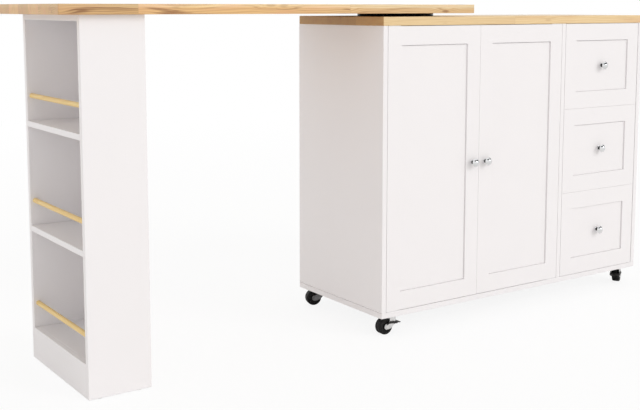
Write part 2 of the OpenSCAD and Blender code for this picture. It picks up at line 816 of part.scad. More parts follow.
// The wheel turned about its axle: a tyre with rounded shoulders and a hub with a ring groove
module wheel()
  translate([-trail, 0, axle_z]) rotate([90, 0, 0]) difference() {
    rotate_extrude() {
      r = wheel_d / 2;
      half = wheel_w / 2;
      translate([0, -half]) square([r - tyre_r, wheel_w]);
      translate([0, tyre_r - half]) square([r, wheel_w - 2 * tyre_r]);
      for (y = [-1, 1]) translate([r - tyre_r, y * (half - tyre_r)]) circle(tyre_r);
    }
    for (m = [0, 1]) mirror([0, 0, m]) translate([0, 0, wheel_w / 2 - 1.5]) difference() {
      cylinder(d = wheel_d - 12, h = 2);
      translate([0, 0, -1]) cylinder(d = axle_d + 10, h = 4);
    }
    translate([0, 0, -wheel_w]) cylinder(d = axle_d + 2 * run, h = 2 * wheel_w);
  }

// The brake pedal: two arms beside the fork, a bar and shoe ahead of the wheel, and the tread
module pedal() {
  bar_x = crown_half + 1.2;
  bar_z = axle_z + 2;
  tip_z = axle_z + 5;
  top_z = axle_z + 12;
  shoe_x = wheel_d / 2 - trail + 3.5;
  difference() {
    union() {
      for (y = [arm_out, -arm_in]) translate([0, y, 0]) rotate([90, 0, 0])
        linear_extrude(pedal_t) {
          translate(stud_at) circle(d = stud_d + 5);
          polygon([stud_at + [0, 5], [bar_x + 3, top_z - 1], [bar_x + 3, bar_z + 3],
                   stud_at + [0, -5]]);
        }
      translate([0, arm_out, 0]) rotate([90, 0, 0]) linear_extrude(2 * arm_out)
        polygon([[bar_x, bar_z + 3], [bar_x, top_z - 1.4], [bar_x + 4, top_z - 1],
                 [pedal_reach - 2, tip_z + 3], [pedal_reach, tip_z + 1],
                 [pedal_reach - 1, tip_z], [bar_x + 6, bar_z + 5], [bar_x + 3, bar_z + 3]]);
      translate([0, leg_in - seat, 0]) rotate([90, 0, 0]) linear_extrude(2 * (leg_in - seat))
        polygon([[shoe_x, bar_z], [shoe_x, bar_z + 5], [bar_x, top_z - 3], [bar_x + 2, bar_z + 3]]);
    }
    translate([stud_at[0], -arm_out - 1, stud_at[1]]) rotate([-90, 0, 0])
      cylinder(d = stud_d + 2 * run, h = 2 * arm_out + 2);
  }
}

// Puts a caster's piece under its corner, turned to the heading of its pedal's side
module at_corner(i, j, heading)
  set_out() translate([caster_x[i], caster_y[j], 0]) rotate(heading) children();

module front_left_fork() color(steel) at_corner(0, 0, heading_fl) fork(true);
module front_left_wheel() color(black) at_corner(0, 0, heading_fl) wheel();
module front_left_pedal() color(black) at_corner(0, 0, heading_fl) pedal();
module front_right_fork() color(steel) at_corner(1, 0, heading_fr) fork(true);
module front_right_wheel() color(black) at_corner(1, 0, heading_fr) wheel();
module front_right_pedal() color(black) at_corner(1, 0, heading_fr) pedal();
module rear_left_fork() color(steel) at_corner(0, 1, heading_rl) fork(false);
module rear_left_wheel() color(black) at_corner(0, 1, heading_rl) wheel();
module rear_right_fork() color(steel) at_corner(1, 1, heading_rr) fork(false);
module rear_right_wheel() color(black) at_corner(1, 1, heading_rr) wheel();

worktop();
side_panel_left();
side_panel_right();
divider_panel();
bottom_board();
top_board();
back_panel();
inner_shelf();
shelf_pins();
drawer_rails();
door_pivot_plates();
door_catches();
turntable_lower_plate();
turntable_bearing();
caster_plates();
caster_screws();
leaf_top();
turntable_upper_plate();
tower_front_panel();
tower_rear_panel();
tower_inner_panel();
tower_top_board();
tower_upper_shelf();
tower_lower_shelf();
tower_bottom_shelf();
tower_plinth();
tower_rails();
tower_glides();
left_door();
left_door_knob();
left_door_fittings();
right_door();
right_door_knob();
right_door_fittings();
top_drawer_front();
top_drawer_walls();
top_drawer_floor();
top_drawer_knob();
top_drawer_slides();
middle_drawer_front();
middle_drawer_walls();
middle_drawer_floor();
middle_drawer_knob();
middle_drawer_slides();
bottom_drawer_front();
bottom_drawer_walls();
bottom_drawer_floor();
bottom_drawer_knob();
bottom_drawer_slides();
front_left_fork();
front_left_wheel();
front_left_pedal();
front_right_fork();
front_right_wheel();
front_right_pedal();
rear_left_fork();
rear_left_wheel();
rear_right_fork();
rear_right_wheel();
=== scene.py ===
# %% [markdown]
# # An extendable kitchen island
#
# This lesson dresses a kitchen island: a white cabinet on casters with a wooden worktop, and above
# it a second wooden leaf that turns out on a turntable and rests on a slim shelf tower. The
# engineering model comes first. It is a fixed frame: it says how large each piece is, where it
# sits, and which body it moves with. Everything made here is laid over that frame, in metres.

# %% Load the frame
import json
from math import atan2, cos, degrees, radians, sin

import bmesh
import bpy
from mathutils import Matrix, Vector

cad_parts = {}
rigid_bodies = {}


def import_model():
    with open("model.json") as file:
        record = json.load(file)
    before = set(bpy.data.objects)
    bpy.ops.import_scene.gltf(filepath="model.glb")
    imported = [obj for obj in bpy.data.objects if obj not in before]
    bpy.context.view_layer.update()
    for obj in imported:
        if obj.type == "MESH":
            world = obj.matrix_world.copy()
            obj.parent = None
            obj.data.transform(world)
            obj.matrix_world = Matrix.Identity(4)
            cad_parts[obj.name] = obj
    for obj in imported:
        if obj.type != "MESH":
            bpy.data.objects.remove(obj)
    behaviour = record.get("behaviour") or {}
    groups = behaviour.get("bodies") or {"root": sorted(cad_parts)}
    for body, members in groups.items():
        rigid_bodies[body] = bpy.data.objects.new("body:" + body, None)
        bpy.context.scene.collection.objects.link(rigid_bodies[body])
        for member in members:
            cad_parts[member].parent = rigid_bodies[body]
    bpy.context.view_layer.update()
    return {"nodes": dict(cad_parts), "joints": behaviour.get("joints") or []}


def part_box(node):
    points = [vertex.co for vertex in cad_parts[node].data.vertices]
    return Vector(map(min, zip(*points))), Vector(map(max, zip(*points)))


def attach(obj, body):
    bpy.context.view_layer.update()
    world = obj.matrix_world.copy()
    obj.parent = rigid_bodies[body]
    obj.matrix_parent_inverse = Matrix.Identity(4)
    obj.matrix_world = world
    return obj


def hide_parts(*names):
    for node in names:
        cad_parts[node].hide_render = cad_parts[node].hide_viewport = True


for left_over in list(bpy.data.objects):
    bpy.data.objects.remove(left_over)
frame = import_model()
nodes = frame["nodes"]
joints = {joint["name"]: joint for joint in frame["joints"]}

# %% [markdown]
# ## A small kit of node helpers
#
# Materials below are recipes of nodes. Written out in full, each node takes three or four lines,
# so a few short helpers keep the recipes readable: one adds a node with its inputs filled in, and
# the others do the same for arithmetic, blends and noise. An input can be a number, a colour or
# another node's output.

# %% Helpers for nodes
def fill(tree, inputs, values):
    """Fills inputs by name or number: links what is a socket, sets what is a number or colour."""
    for name, value in values.items():
        if isinstance(value, bpy.types.NodeSocket):
            tree.links.new(value, inputs[name])
        elif inputs[name].type == "RGBA":
            inputs[name].default_value = (*value, 1.0)
        else:
            inputs[name].default_value = value


def put(tree, kind, values=None, **settings):
    """Adds one node, with its settings made and its inputs filled."""
    made = tree.nodes.new(kind)
    for name, setting in settings.items():
        setattr(made, name, setting)
    fill(tree, made.inputs, values or {})
    return made


def calc(tree, operation, *terms, clamp=False):
    """One step of arithmetic on numbers or sockets."""
    values = dict(enumerate(terms))
    return put(tree, "ShaderNodeMath", values, operation=operation, use_clamp=clamp).outputs[0]


def mix_colours(tree, share, first, second, mode="MIX"):
    """Blends two colours; share runs from the first to the second."""
    made = put(tree, "ShaderNodeMix", {0: share, 6: first, 7: second},
               data_type="RGBA", blend_type=mode)
    return made.outputs[2]


# %% Ranges, vectors and noise
def between(tree, value, low, high, to_low=0.0, to_high=1.0):
    """Maps low..high smoothly to to_low..to_high, and holds the ends."""
    return put(tree, "ShaderNodeMapRange",
               {"Value": value, "From Min": low, "From Max": high,
                "To Min": to_low, "To Max": to_high},
               interpolation_type="SMOOTHSTEP").outputs[0]


def split(tree, vector):
    """The X, Y and Z of a vector."""
    return put(tree, "ShaderNodeSeparateXYZ", {0: vector}).outputs


def length(tree, vector):
    """How far a place is from the origin."""
    return put(tree, "ShaderNodeVectorMath", {0: vector}, operation="LENGTH").outputs["Value"]


def stretched(tree, vector, scale):
    """The same coordinates, squeezed or stretched along each axis."""
    return put(tree, "ShaderNodeVectorMath", {0: vector, 1: scale},
               operation="MULTIPLY").outputs[0]


def brightened(tree, colour, factor):
    """A colour made lighter or darker by a factor."""
    return put(tree, "ShaderNodeVectorMath", {0: colour, "Scale": factor},
               operation="SCALE").outputs[0]


def noise(tree, vector, scale, detail=2.0, roughness=0.5, distortion=0.0):
    """Soft random clouds between 0 and 1."""
    return put(tree, "ShaderNodeTexNoise",
               {"Vector": vector, "Scale": scale, "Detail": detail, "Roughness": roughness,
                "Distortion": distortion}).outputs["Fac"]


# %% Node groups
def new_group(name, inputs, outputs):
    """A shader node group with named sockets. Returns its tree, what comes in, what goes out."""
    tree = bpy.data.node_groups.new(name, "ShaderNodeTree")
    for label, (kind, default) in inputs.items():
        socket = tree.interface.new_socket(label, in_out="INPUT",
                                           socket_type="NodeSocket" + kind)
        if default is not None:
            socket.default_value = default
    for label, kind in outputs.items():
        tree.interface.new_socket(label, in_out="OUTPUT", socket_type="NodeSocket" + kind)
    given = tree.nodes.new("NodeGroupInput").outputs
    return tree, given, tree.nodes.new("NodeGroupOutput").inputs


# %% [markdown]
# ## Fine surface texture
#
# Sprayed paint, powder coat and moulded plastic look flat from afar, but none of them is a mirror.
# Paint dries in a shallow orange peel, powder coat in a tighter one, and a mould leaves a fine
# grain. All three can be one effect at different sizes: small bumps, and a sheen that drifts a
# little from place to place. A shared group makes that once, and each finish sets its own numbers.

# %% The texture group
tree, given, gives = new_group(
    "fine texture",
    {"Vector": ("Vector", None), "Bumps Per Metre": ("Float", 600.0), "Sheen": ("Float", 0.4),
     "Sheen Drift": ("Float", 0.08), "Colour": ("Color", (0.8, 0.8, 0.8, 1.0)),
     "Tone Drift": ("Float", 0.02)},
    {"Color": "Color", "Roughness": "Float", "Height": "Float"})
clouds = noise(tree, given["Vector"], 7.0, detail=3.0)
drift = calc(tree, "SUBTRACT", clouds, 0.5)
tone = calc(tree, "MULTIPLY_ADD", drift, given["Tone Drift"], 1.0)
fill(tree, gives, {
    "Color": brightened(tree, given["Colour"], tone),
    "Roughness": calc(tree, "MULTIPLY_ADD", drift, given["Sheen Drift"], given["Sheen"]),
    "Height": noise(tree, given["Vector"], given["Bumps Per Metre"], detail=1.5)})
texture_group = tree
print("texture group:", len(tree.nodes), "nodes")

# %% [markdown]
# ## Metal grain
#
# Plated steel is smooth to the touch, yet its reflections are broken up by what lay under the
# plating: the rolling marks of the sheet and the slight swirl of polishing. One group gives both,
# with the marks stretched along X. Chrome takes very little of it, zinc plating much more.

# %% The metal group
tree, given, gives = new_group(
    "metal grain",
    {"Vector": ("Vector", None), "Roughness": ("Float", 0.2), "Marks": ("Float", 0.1),
     "Marks Per Metre": ("Float", 900.0)},
    {"Roughness": "Float", "Height": "Float"})
rolled = noise(tree, stretched(tree, given["Vector"], (0.12, 1.0, 1.0)),
               given["Marks Per Metre"], detail=3.0)
swirl = noise(tree, given["Vector"], 90.0, detail=2.0, distortion=1.2)
uneven = calc(tree, "SUBTRACT", calc(tree, "ADD", rolled, swirl), 1.0)
fill(tree, gives, {
    "Roughness": calc(tree, "MULTIPLY_ADD", uneven, given["Marks"], given["Roughness"],
                      clamp=True),
    "Height": rolled})
metal_group = tree
print("metal group:", len(tree.nodes), "nodes")

# %% [markdown]
# ## Glued staves
#
# A solid wood top isn't one plank. It is glued up from narrow staves, each cut from another part
# of a tree, with the ends staggered from row to row. A picture could show that, but a pattern in
# space does it better here, because the same stave must show on the upper face, the long edge and
# the end. This group divides space into rows and lengths, gives each stave its own random colour,
# and moves the coordinates so that every stave seems to be cut from its own log.

# %% The stave group
tree, given, gives = new_group(
    "glued staves",
    {"Vector": ("Vector", None), "Width": ("Float", 0.05), "Length": ("Float", 0.5),
     "Log Spread": ("Float", 0.16), "Middle Height": ("Float", 0.9)},
    {"Log": "Vector", "Random": "Color", "Joint": "Float"})
x, y, z = split(tree, given["Vector"])
rows = calc(tree, "DIVIDE", y, given["Width"])
row = calc(tree, "FLOOR", rows)
row_shift = put(tree, "ShaderNodeTexWhiteNoise", {"W": row}, noise_dimensions="1D").outputs[0]
lengths = calc(tree, "ADD", calc(tree, "DIVIDE", x, given["Length"]),
               calc(tree, "MULTIPLY", row_shift, 9.7))
stave = put(tree, "ShaderNodeCombineXYZ",
            {"X": calc(tree, "FLOOR", lengths), "Y": row, "Z": 3.0}).outputs[0]
chance = put(tree, "ShaderNodeTexWhiteNoise", {"Vector": stave}).outputs["Color"]
chance_x, chance_y, chance_z = put(tree, "ShaderNodeSeparateColor", {0: chance}).outputs
across = calc(tree, "SUBTRACT", calc(tree, "FRACT", rows), 0.5)
endwise = calc(tree, "SUBTRACT", calc(tree, "FRACT", lengths), 0.5)
print("rows, lengths and chance:", len(tree.nodes), "nodes")


# %% The log and the joints of each stave
def off_centre(tree, value):
    """A stave's own distance from the heart of its log, to either side."""
    return calc(tree, "MULTIPLY", calc(tree, "SUBTRACT", value, 0.5), given["Log Spread"])


def near_edge(tree, position, size):
    """Distance in metres from the stave's edge, from a position of -0.5 to 0.5 across it."""
    inward = calc(tree, "SUBTRACT", 0.5, calc(tree, "ABSOLUTE", position))
    return calc(tree, "MULTIPLY", inward, size)


log = put(tree, "ShaderNodeCombineXYZ", {
    "X": calc(tree, "MULTIPLY_ADD", chance_z, 23.1, x),
    "Y": calc(tree, "MULTIPLY_ADD", across, given["Width"], off_centre(tree, chance_x)),
    "Z": calc(tree, "ADD", calc(tree, "SUBTRACT", z, given["Middle Height"]),
              off_centre(tree, chance_y))}).outputs[0]
to_joint = calc(tree, "MINIMUM", near_edge(tree, across, given["Width"]),
                near_edge(tree, endwise, given["Length"]))
fill(tree, gives, {"Log": log, "Random": chance,
                   "Joint": between(tree, to_joint, 0.0, 0.0005, 1.0, 0.0)})
stave_group = tree
print("stave group:", len(tree.nodes), "nodes")

# %% [markdown]
# ## Wood
#
# Wood is a bundle of cones. Seen in a log's own coordinates, with X along the trunk, the year
# rings are circles about the heart, so they cut the end of a stave as arcs and its long faces as
# stripes. Over the rings lie long soft bands and fine fibres. Knots are where branches grew: a
# Voronoi texture scatters them, each one dark in the middle, and the rings swerve round it.
# Streaks of heartwood follow the same swerve. The group takes place and colours, and gives colour,
# sheen and relief.

# %% The wood group, with its knots and rings
tree, given, gives = new_group(
    "wood",
    {"Log": ("Vector", None), "Ring Width": ("Float", 0.004), "Streaks": ("Float", 0.2),
     "Pale": ("Color", (0.8, 0.6, 0.35, 1.0)), "Ring": ("Color", (0.7, 0.46, 0.25, 1.0)),
     "Blush": ("Color", (0.75, 0.45, 0.28, 1.0)), "Heart": ("Color", (0.4, 0.2, 0.1, 1.0))},
    {"Color": "Color", "Roughness": "Float", "Height": "Float"})
log, streaks = given["Log"], given["Streaks"]
to_knot = put(tree, "ShaderNodeTexVoronoi",
              {"Vector": stretched(tree, log, (8.0, 28.0, 28.0)), "Scale": 1.0},
              feature="F1").outputs["Distance"]
knot = between(tree, to_knot, 0.07, 0.17, 1.0, 0.0)
swerve = calc(tree, "MULTIPLY", between(tree, to_knot, 0.0, 0.6, 1.0, 0.0), streaks)
sway = noise(tree, stretched(tree, log, (2.4, 11.0, 11.0)), 1.0)
radius = length(tree, stretched(tree, log, (0.0, 1.0, 1.0)))
radius = calc(tree, "MULTIPLY_ADD", sway, 0.026, radius)
radius = calc(tree, "MULTIPLY_ADD", swerve, 0.012, radius)
year = calc(tree, "FRACT", calc(tree, "DIVIDE", radius, given["Ring Width"]))
ring = calc(tree, "MULTIPLY", between(tree, year, 0.1, 0.86),
            between(tree, year, 0.9, 1.0, 1.0, 0.0))
print("knots and rings:", len(tree.nodes), "nodes")

# %% Bands, fibres and the plain colour
bands = noise(tree, stretched(tree, log, (2.2, 60.0, 60.0)), 1.0, detail=3.0)
fibres = noise(tree, stretched(tree, log, (18.0, 900.0, 900.0)), 1.0, roughness=0.65)
grain = calc(tree, "MULTIPLY_ADD", ring, 0.42,
             calc(tree, "MULTIPLY_ADD", bands, 0.55, calc(tree, "MULTIPLY", fibres, 0.35)))
plain = mix_colours(tree, between(tree, grain, 0.25, 1.05), given["Pale"], given["Ring"])
rosy = noise(tree, stretched(tree, log, (3.5, 45.0, 45.0)), 1.0, distortion=0.6)
plain = mix_colours(tree, between(tree, rosy, 0.45, 0.68, 0.0, 0.8), plain, given["Blush"])
print("with bands and fibres:", len(tree.nodes), "nodes")

# %% Streaks of heartwood
curved = put(tree, "ShaderNodeCombineXYZ",
             {"X": calc(tree, "MULTIPLY", split(tree, log)["X"], 5.0),
              "Y": calc(tree, "MULTIPLY", radius, 150.0)}).outputs[0]
streaky = noise(tree, curved, 1.0, detail=3.0, roughness=0.55, distortion=0.5)
patches = noise(tree, stretched(tree, log, (4.0, 14.0, 14.0)), 1.0, detail=1.0)
heart = calc(tree, "MULTIPLY", between(tree, streaky, 0.5, 0.68),
             between(tree, patches, 0.36, 0.56))
heart = calc(tree, "MAXIMUM", calc(tree, "MULTIPLY", heart, 0.85), knot)
heart = calc(tree, "MULTIPLY", heart, streaks, clamp=True)
fill(tree, gives, {
    "Color": mix_colours(tree, heart, plain, given["Heart"]),
    "Roughness": calc(tree, "MULTIPLY_ADD", grain, 0.12, 0.3),
    "Height": calc(tree, "SUBTRACT", calc(tree, "MULTIPLY", fibres, 0.7), heart)})
wood_group = tree
print("wood group:", len(tree.nodes), "nodes")

# %% [markdown]
# ## Starting a material
#
# Every finish below starts the same way: a material with nothing in it, the object's own
# coordinates, and one Principled shader, whose fixed numbers are set on its own sockets. The
# record's slot name is kept on the material, so that each piece can say later which finish of the
# record it carries.

# %% A new finish
def emptied(owner):
    """Switches a material or a world to nodes, takes out the first ones, and returns its tree."""
    owner.use_nodes = True
    owner.node_tree.nodes.clear()
    return owner.node_tree


def new_finish(name, slot, **fixed):
    """A material with a Principled shader. fixed holds the shader's constant inputs."""
    material = bpy.data.materials.new(name)
    material["slot"] = slot
    tree = emptied(material)
    shader = put(tree, "ShaderNodeBsdfPrincipled",
                 {label.replace("_", " "): value for label, value in fixed.items()})
    put(tree, "ShaderNodeOutputMaterial", {"Surface": shader.outputs[0]})
    return material, tree, shader, put(tree, "ShaderNodeTexCoord").outputs["Object"]


def add_group(tree, group, values):
    """Places a node group and fills its inputs. Returns its outputs."""
    return put(tree, "ShaderNodeGroup", values, node_tree=group).outputs


def embossed(tree, height, strength, depth):
    """A bumpy normal from a height; depth is the height of the relief in metres."""
    return put(tree, "ShaderNodeBump",
               {"Strength": strength, "Distance": depth, "Height": height}).outputs[0]


# %% [markdown]
# ## The painted and moulded finishes
#
# Cabinet, fronts and tower are board with a sprayed satin paint, a white that leans to warm pink
# rather than blue. The turntable is powder coated, wheels and pedals are black plastic, and glides
# and catches white plastic. All use the texture group, and differ in bump size, sheen and colour.
# The blacks also get a low specular level, because soft plastic mirrors less of a white room than
# paint.

# %% Paint, powder coat and plastic
def coated(name, slot, colour, bumps, depth, sheen, drift, tone=0.02, **fixed):
    """A finish made of the fine texture group alone."""
    material, tree, shader, place = new_finish(name, slot, **fixed)
    made = add_group(tree, texture_group,
                     {"Vector": place, "Bumps Per Metre": bumps, "Sheen": sheen,
                      "Sheen Drift": drift, "Colour": colour, "Tone Drift": tone})
    fill(tree, shader.inputs, {"Base Color": made["Color"], "Roughness": made["Roughness"],
                               "Normal": embossed(tree, made["Height"], 0.25, depth)})
    return material


white_paint = coated("white satin paint", "white_paint", (0.83, 0.808, 0.817),
                     bumps=650.0, depth=0.00004, sheen=0.42, drift=0.1)
black_coat = coated("black powder coat", "black_steel", (0.012, 0.011, 0.012),
                    bumps=1800.0, depth=0.00008, sheen=0.5, drift=0.12, tone=0.2,
                    Specular_IOR_Level=0.25)
black_plastic = coated("black moulded plastic", "black_plastic", (0.03, 0.028, 0.028),
                       bumps=2600.0, depth=0.00004, sheen=0.4, drift=0.1, tone=0.2,
                       Specular_IOR_Level=0.3)
wheel_black = coated("black wheel plastic", "wheel_black", (0.008, 0.0075, 0.008),
                     bumps=2200.0, depth=0.00005, sheen=0.45, drift=0.15, tone=0.25,
                     Specular_IOR_Level=0.2)
white_plastic = coated("white moulded plastic", "white_plastic", (0.8, 0.8, 0.79),
                       bumps=2600.0, depth=0.00003, sheen=0.4, drift=0.08)
print("materials, with the frame's own:", len(bpy.data.materials))

# %% [markdown]
# ## The plated finishes
#
# The knobs are polished chrome, nearly a mirror. Forks, screws and slides are zinc plated, which
# is paler and much softer in its reflections. The rear forks get a darker, duller copy of that
# plating, which is painted shade: they stand in the shadow under the cabinet. All are pure metal,
# so the base colour is the colour of the reflection itself.

# %% Chrome and zinc
def plated(name, slot, colour, roughness, marks, depth):
    """A metal whose reflections are broken up by the metal grain group."""
    material, tree, shader, place = new_finish(name, slot, Metallic=1.0, Base_Color=colour)
    made = add_group(tree, metal_group,
                     {"Vector": place, "Roughness": roughness, "Marks": marks})
    fill(tree, shader.inputs, {"Roughness": made["Roughness"],
                               "Normal": embossed(tree, made["Height"], 0.2, depth)})
    return material


chrome = plated("polished chrome", "chrome", (0.78, 0.79, 0.8), 0.07, 0.05, 0.000004)
zinc = plated("zinc plating", "steel", (0.74, 0.745, 0.75), 0.33, 0.25, 0.00002)
# The rear forks' darker, duller plating is painted shade: they stand in the shadow under the
# cabinet.
rear_zinc_painted_shade = plated("zinc plating with painted shade", "steel", (0.24, 0.24, 0.245), 0.4, 0.3, 0.00002)
print("materials, with the frame's own:", len(bpy.data.materials))

# %% [markdown]
# ## The wooden finishes
#
# Both tops are staves under a clear satin lacquer. The leaf shows more heartwood, most of it
# towards its free end, so its streaks are stronger there; its upper layer is pale sapwood. Across
# the grain the open pores soak up lacquer and darken the end faces. The worktop's end faces are
# made a deeper brown still, which is painted shade from the leaf above them. The rails are turned
# from one piece each and have no staves; a Mapping node moves their pattern so that the log's
# heart lies beside each rail.

# %% Lacquered staves
stave_width, stave_length = 0.0713, 0.62
sapwood_tint, glue_colour = (1.17, 1.4, 1.75), (0.3, 0.17, 0.09)
# The pale upper layer: how high it starts above the board's middle, and where along X it thins.
sapwood_from, sapwood_full, sapwood_waves, sapwood_slope = 0.006, 0.0095, 0.006, 0.003
thin_end, thick_end, thin_share = -0.95, -0.7, 0.4


def upper_layer(tree, place, along, middle_height, sapwood):
    """How much of the pale upper layer there is at a place, from 0 to sapwood."""
    x, _, z = split(tree, place)
    waves = noise(tree, stretched(tree, place, (4.0, 30.0, 30.0)), 1.0)
    level = calc(tree, "SUBTRACT", z, middle_height)
    level = calc(tree, "MULTIPLY_ADD", waves, sapwood_waves, level)
    level = calc(tree, "MULTIPLY_ADD", along, sapwood_slope, level)
    return calc(tree, "MULTIPLY", between(tree, level, sapwood_from, sapwood_full),
                between(tree, x, thin_end, thick_end, thin_share * sapwood, sapwood))


def across_the_grain(tree):
    """1 on a face that is sawn across the grain, 0 on a face along it."""
    facing = split(tree, put(tree, "ShaderNodeTexCoord").outputs["Normal"])["X"]
    return between(tree, calc(tree, "ABSOLUTE", facing), 0.5, 0.9)


# %% A top of staves
def stave_top(name, middle_height, pale, ring, blush, heart, streaks, ends, end_grain_and_shade, sapwood):
    """Lacquered staves. streaks and pale hold two values each, the first for X below the first of
    ends, the second for X above the second, with a soft change between them. end_grain_and_shade
    is how much of each colour the faces across the grain keep: darker end grain, and on the
    worktop also painted shade from the leaf above. sapwood is how pale the upper layer is."""
    material, tree, shader, place = new_finish(name, "wood_top", Coat_Weight=0.15,
                                               Coat_Roughness=0.3)
    cut = add_group(tree, stave_group,
                    {"Vector": place, "Width": stave_width, "Length": stave_length,
                     "Middle Height": middle_height})
    along = between(tree, split(tree, place)["X"], *ends)
    upper = upper_layer(tree, place, along, middle_height, sapwood)
    end_face = across_the_grain(tree)
    amount = between(tree, along, 0.0, 1.0, *streaks)
    for plainer in (upper, end_face):
        amount = calc(tree, "MULTIPLY", amount, between(tree, plainer, 0.0, 1.0, 1.0, 0.3))
    wood = add_group(tree, wood_group,
                     {"Log": cut["Log"], "Ring Width": 0.0045, "Streaks": amount,
                      "Pale": mix_colours(tree, along, *pale), "Ring": ring, "Blush": blush,
                      "Heart": heart})
    tint = put(tree, "ShaderNodeSeparateColor", {0: cut["Random"]}).outputs["Blue"]
    toned = brightened(tree, wood["Color"], between(tree, tint, 0.0, 1.0, 0.88, 1.06))
    toned = mix_colours(tree, upper, toned, sapwood_tint, mode="MULTIPLY")
    glued = mix_colours(tree, calc(tree, "MULTIPLY", cut["Joint"], 0.45), toned, glue_colour)
    relief = calc(tree, "SUBTRACT", wood["Height"], cut["Joint"])
    # Faces across the grain are darkened: end grain, and on the worktop painted shade as well.
    fill(tree, shader.inputs, {
        "Base Color": mix_colours(tree, end_face, glued, end_grain_and_shade, mode="MULTIPLY"),
        "Roughness": wood["Roughness"],
        "Normal": embossed(tree, relief, 0.3, 0.00008)})
    return material


# %% Tops and rails
# The worktop's end faces keep (0.64, 0.49, 0.29) of their colour: part darker end grain, part
# painted shade from the leaf above.
worktop_wood = stave_top("worktop staves", 0.9035, [(0.78, 0.59, 0.33), (0.78, 0.59, 0.33)],
                         (0.68, 0.48, 0.24), (0.7, 0.47, 0.25), (0.42, 0.24, 0.11),
                         (0.25, 0.35), (-0.2, 0.9), (0.64, 0.49, 0.29), 0.0)
leaf_wood = stave_top("leaf staves", 0.9375, [(0.75, 0.48, 0.205), (0.73, 0.53, 0.28)],
                      (0.56, 0.32, 0.13), (0.68, 0.37, 0.18), (0.26, 0.105, 0.03),
                      (1.05, 0.8), (-0.55, 0.1), (1.0, 1.0, 0.96), 0.85)

rail_wood, tree, shader, place = new_finish("lacquered dowel", "dowel_wood", Coat_Weight=0.2,
                                            Coat_Roughness=0.3)
turned_log = put(tree, "ShaderNodeMapping",
                 {"Vector": place, "Location": (0.9, 0.0, 0.0),
                  "Rotation": (0.0, 0.0, radians(90))}).outputs[0]
wood = add_group(tree, wood_group,
                 {"Log": turned_log, "Ring Width": 0.0035, "Streaks": 0.05,
                  "Pale": (0.86, 0.64, 0.24), "Ring": (0.76, 0.5, 0.16),
                  "Blush": (0.8, 0.55, 0.18), "Heart": (0.5, 0.28, 0.1)})
fill(tree, shader.inputs, {"Base Color": wood["Color"], "Roughness": wood["Roughness"],
                           "Normal": embossed(tree, wood["Height"], 0.25, 0.00006)})
print("materials, with the frame's own:", len(bpy.data.materials))

# %% [markdown]
# ## Making pieces
#
# A piece is modelled as a bmesh, which Blender's mesh operators work on directly. When its shape
# is done, it becomes an object: normals are turned outwards, faces are shaded smooth except where
# they meet at a sharp angle, and a Weighted Normal modifier keeps large faces flat right up to
# their rounded edges. It then rides on a body of the frame and stands for the nodes that it
# replaces.

# %% From bmesh to piece
sharp_from = radians(40)


def as_object(name, bm, material=None):
    """Turns a bmesh into an object of the scene, and uses it up."""
    mesh = bpy.data.meshes.new(name)
    bm.to_mesh(mesh)
    bm.free()
    if material:
        mesh.materials.append(material)
    made = bpy.data.objects.new(name, mesh)
    bpy.context.scene.collection.objects.link(made)
    return made


def new_piece(name, bm, material, body, stands_for=()):
    """Finishes a bmesh as an object that rides on a body."""
    bmesh.ops.recalc_face_normals(bm, faces=bm.faces)
    piece = as_object(name, bm, material)
    piece.data.shade_smooth()
    piece.data.set_sharp_from_angle(angle=sharp_from)
    even = piece.modifiers.new("even shading", "WEIGHTED_NORMAL")
    even.keep_sharp = True
    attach(piece, body)
    if stands_for:
        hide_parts(*stands_for)
    return piece


# %% Boxes and rounded edges
def round_edges(bm, radius, segments=3, edges=None, steeper_than=30):
    """Rounds the edges at which faces meet at a steep angle."""
    steep = [edge for edge in (bm.edges if edges is None else edges)
             if len(edge.link_faces) == 2 and edge.calc_face_angle() > radians(steeper_than)]
    bmesh.ops.bevel(bm, geom=steep, offset=radius, segments=segments, affect="EDGES",
                    profile=0.5, material=-1, clamp_overlap=True)


def cube_between(low, high):
    """A box from corner to corner."""
    low, high = Vector(low), Vector(high)
    bm = bmesh.new()
    bmesh.ops.create_cube(bm, size=1.0)
    bmesh.ops.scale(bm, vec=high - low, verts=bm.verts)
    bmesh.ops.translate(bm, vec=(low + high) / 2, verts=bm.verts)
    return bm


# %% [markdown]
# ## Boards
#
# Most of the cabinet and the tower is board, sawn square and painted. A sawn edge is never a
# perfect corner: it is eased with abrasive paper, and the paint rounds it a little more. That
# rounding is what catches the light along every edge, and where two boards meet it leaves the fine
# dark line that shows the joint. So each board is a box with its edges bevelled by about a
# millimetre.

# %% The boards of cabinet and tower
edge_ease = 0.0009


def new_board(name, body, node):
    """A board in the place of a CAD node, with eased edges."""
    bm = cube_between(*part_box(node))
    round_edges(bm, edge_ease)
    return new_piece(name, bm, white_paint, body, [node])


cabinet_boards = {"cabinet_floor": "bottom_board", "under_top_board": "top_board",
                  "cabinet_back": "back_panel", "cupboard_shelf": "inner_shelf"}
tower_boards = {"tower_front": "tower_front_panel", "tower_rear": "tower_rear_panel",
                "tower_inner_side": "tower_inner_panel", "tower_cap": "tower_top_board",
                "tower_shelf_high": "tower_upper_shelf", "tower_shelf_low": "tower_lower_shelf",
                "tower_shelf_foot": "tower_bottom_shelf", "tower_kickboard": "tower_plinth"}
for name, node in cabinet_boards.items():
    new_board(name, "cabinet", node)
for name, node in tower_boards.items():
    new_board(name, "leaf", node)
print("boards:", len(cabinet_boards) + len(tower_boards))

# %% [markdown]
# ## Boards with grooves and holes
#
# Both side panels stand on the floor board, and a fine groove along their lower edge turns that
# joint into a clean shadow line. The left side and the divider also carry the cupboard's shelf on
# pins, with spare holes above and below so that the shelf can be moved. A Boolean modifier cuts
# all this: the cutter is a second mesh, and the result is taken over as the board's own mesh, so
# that no helper object stays behind.

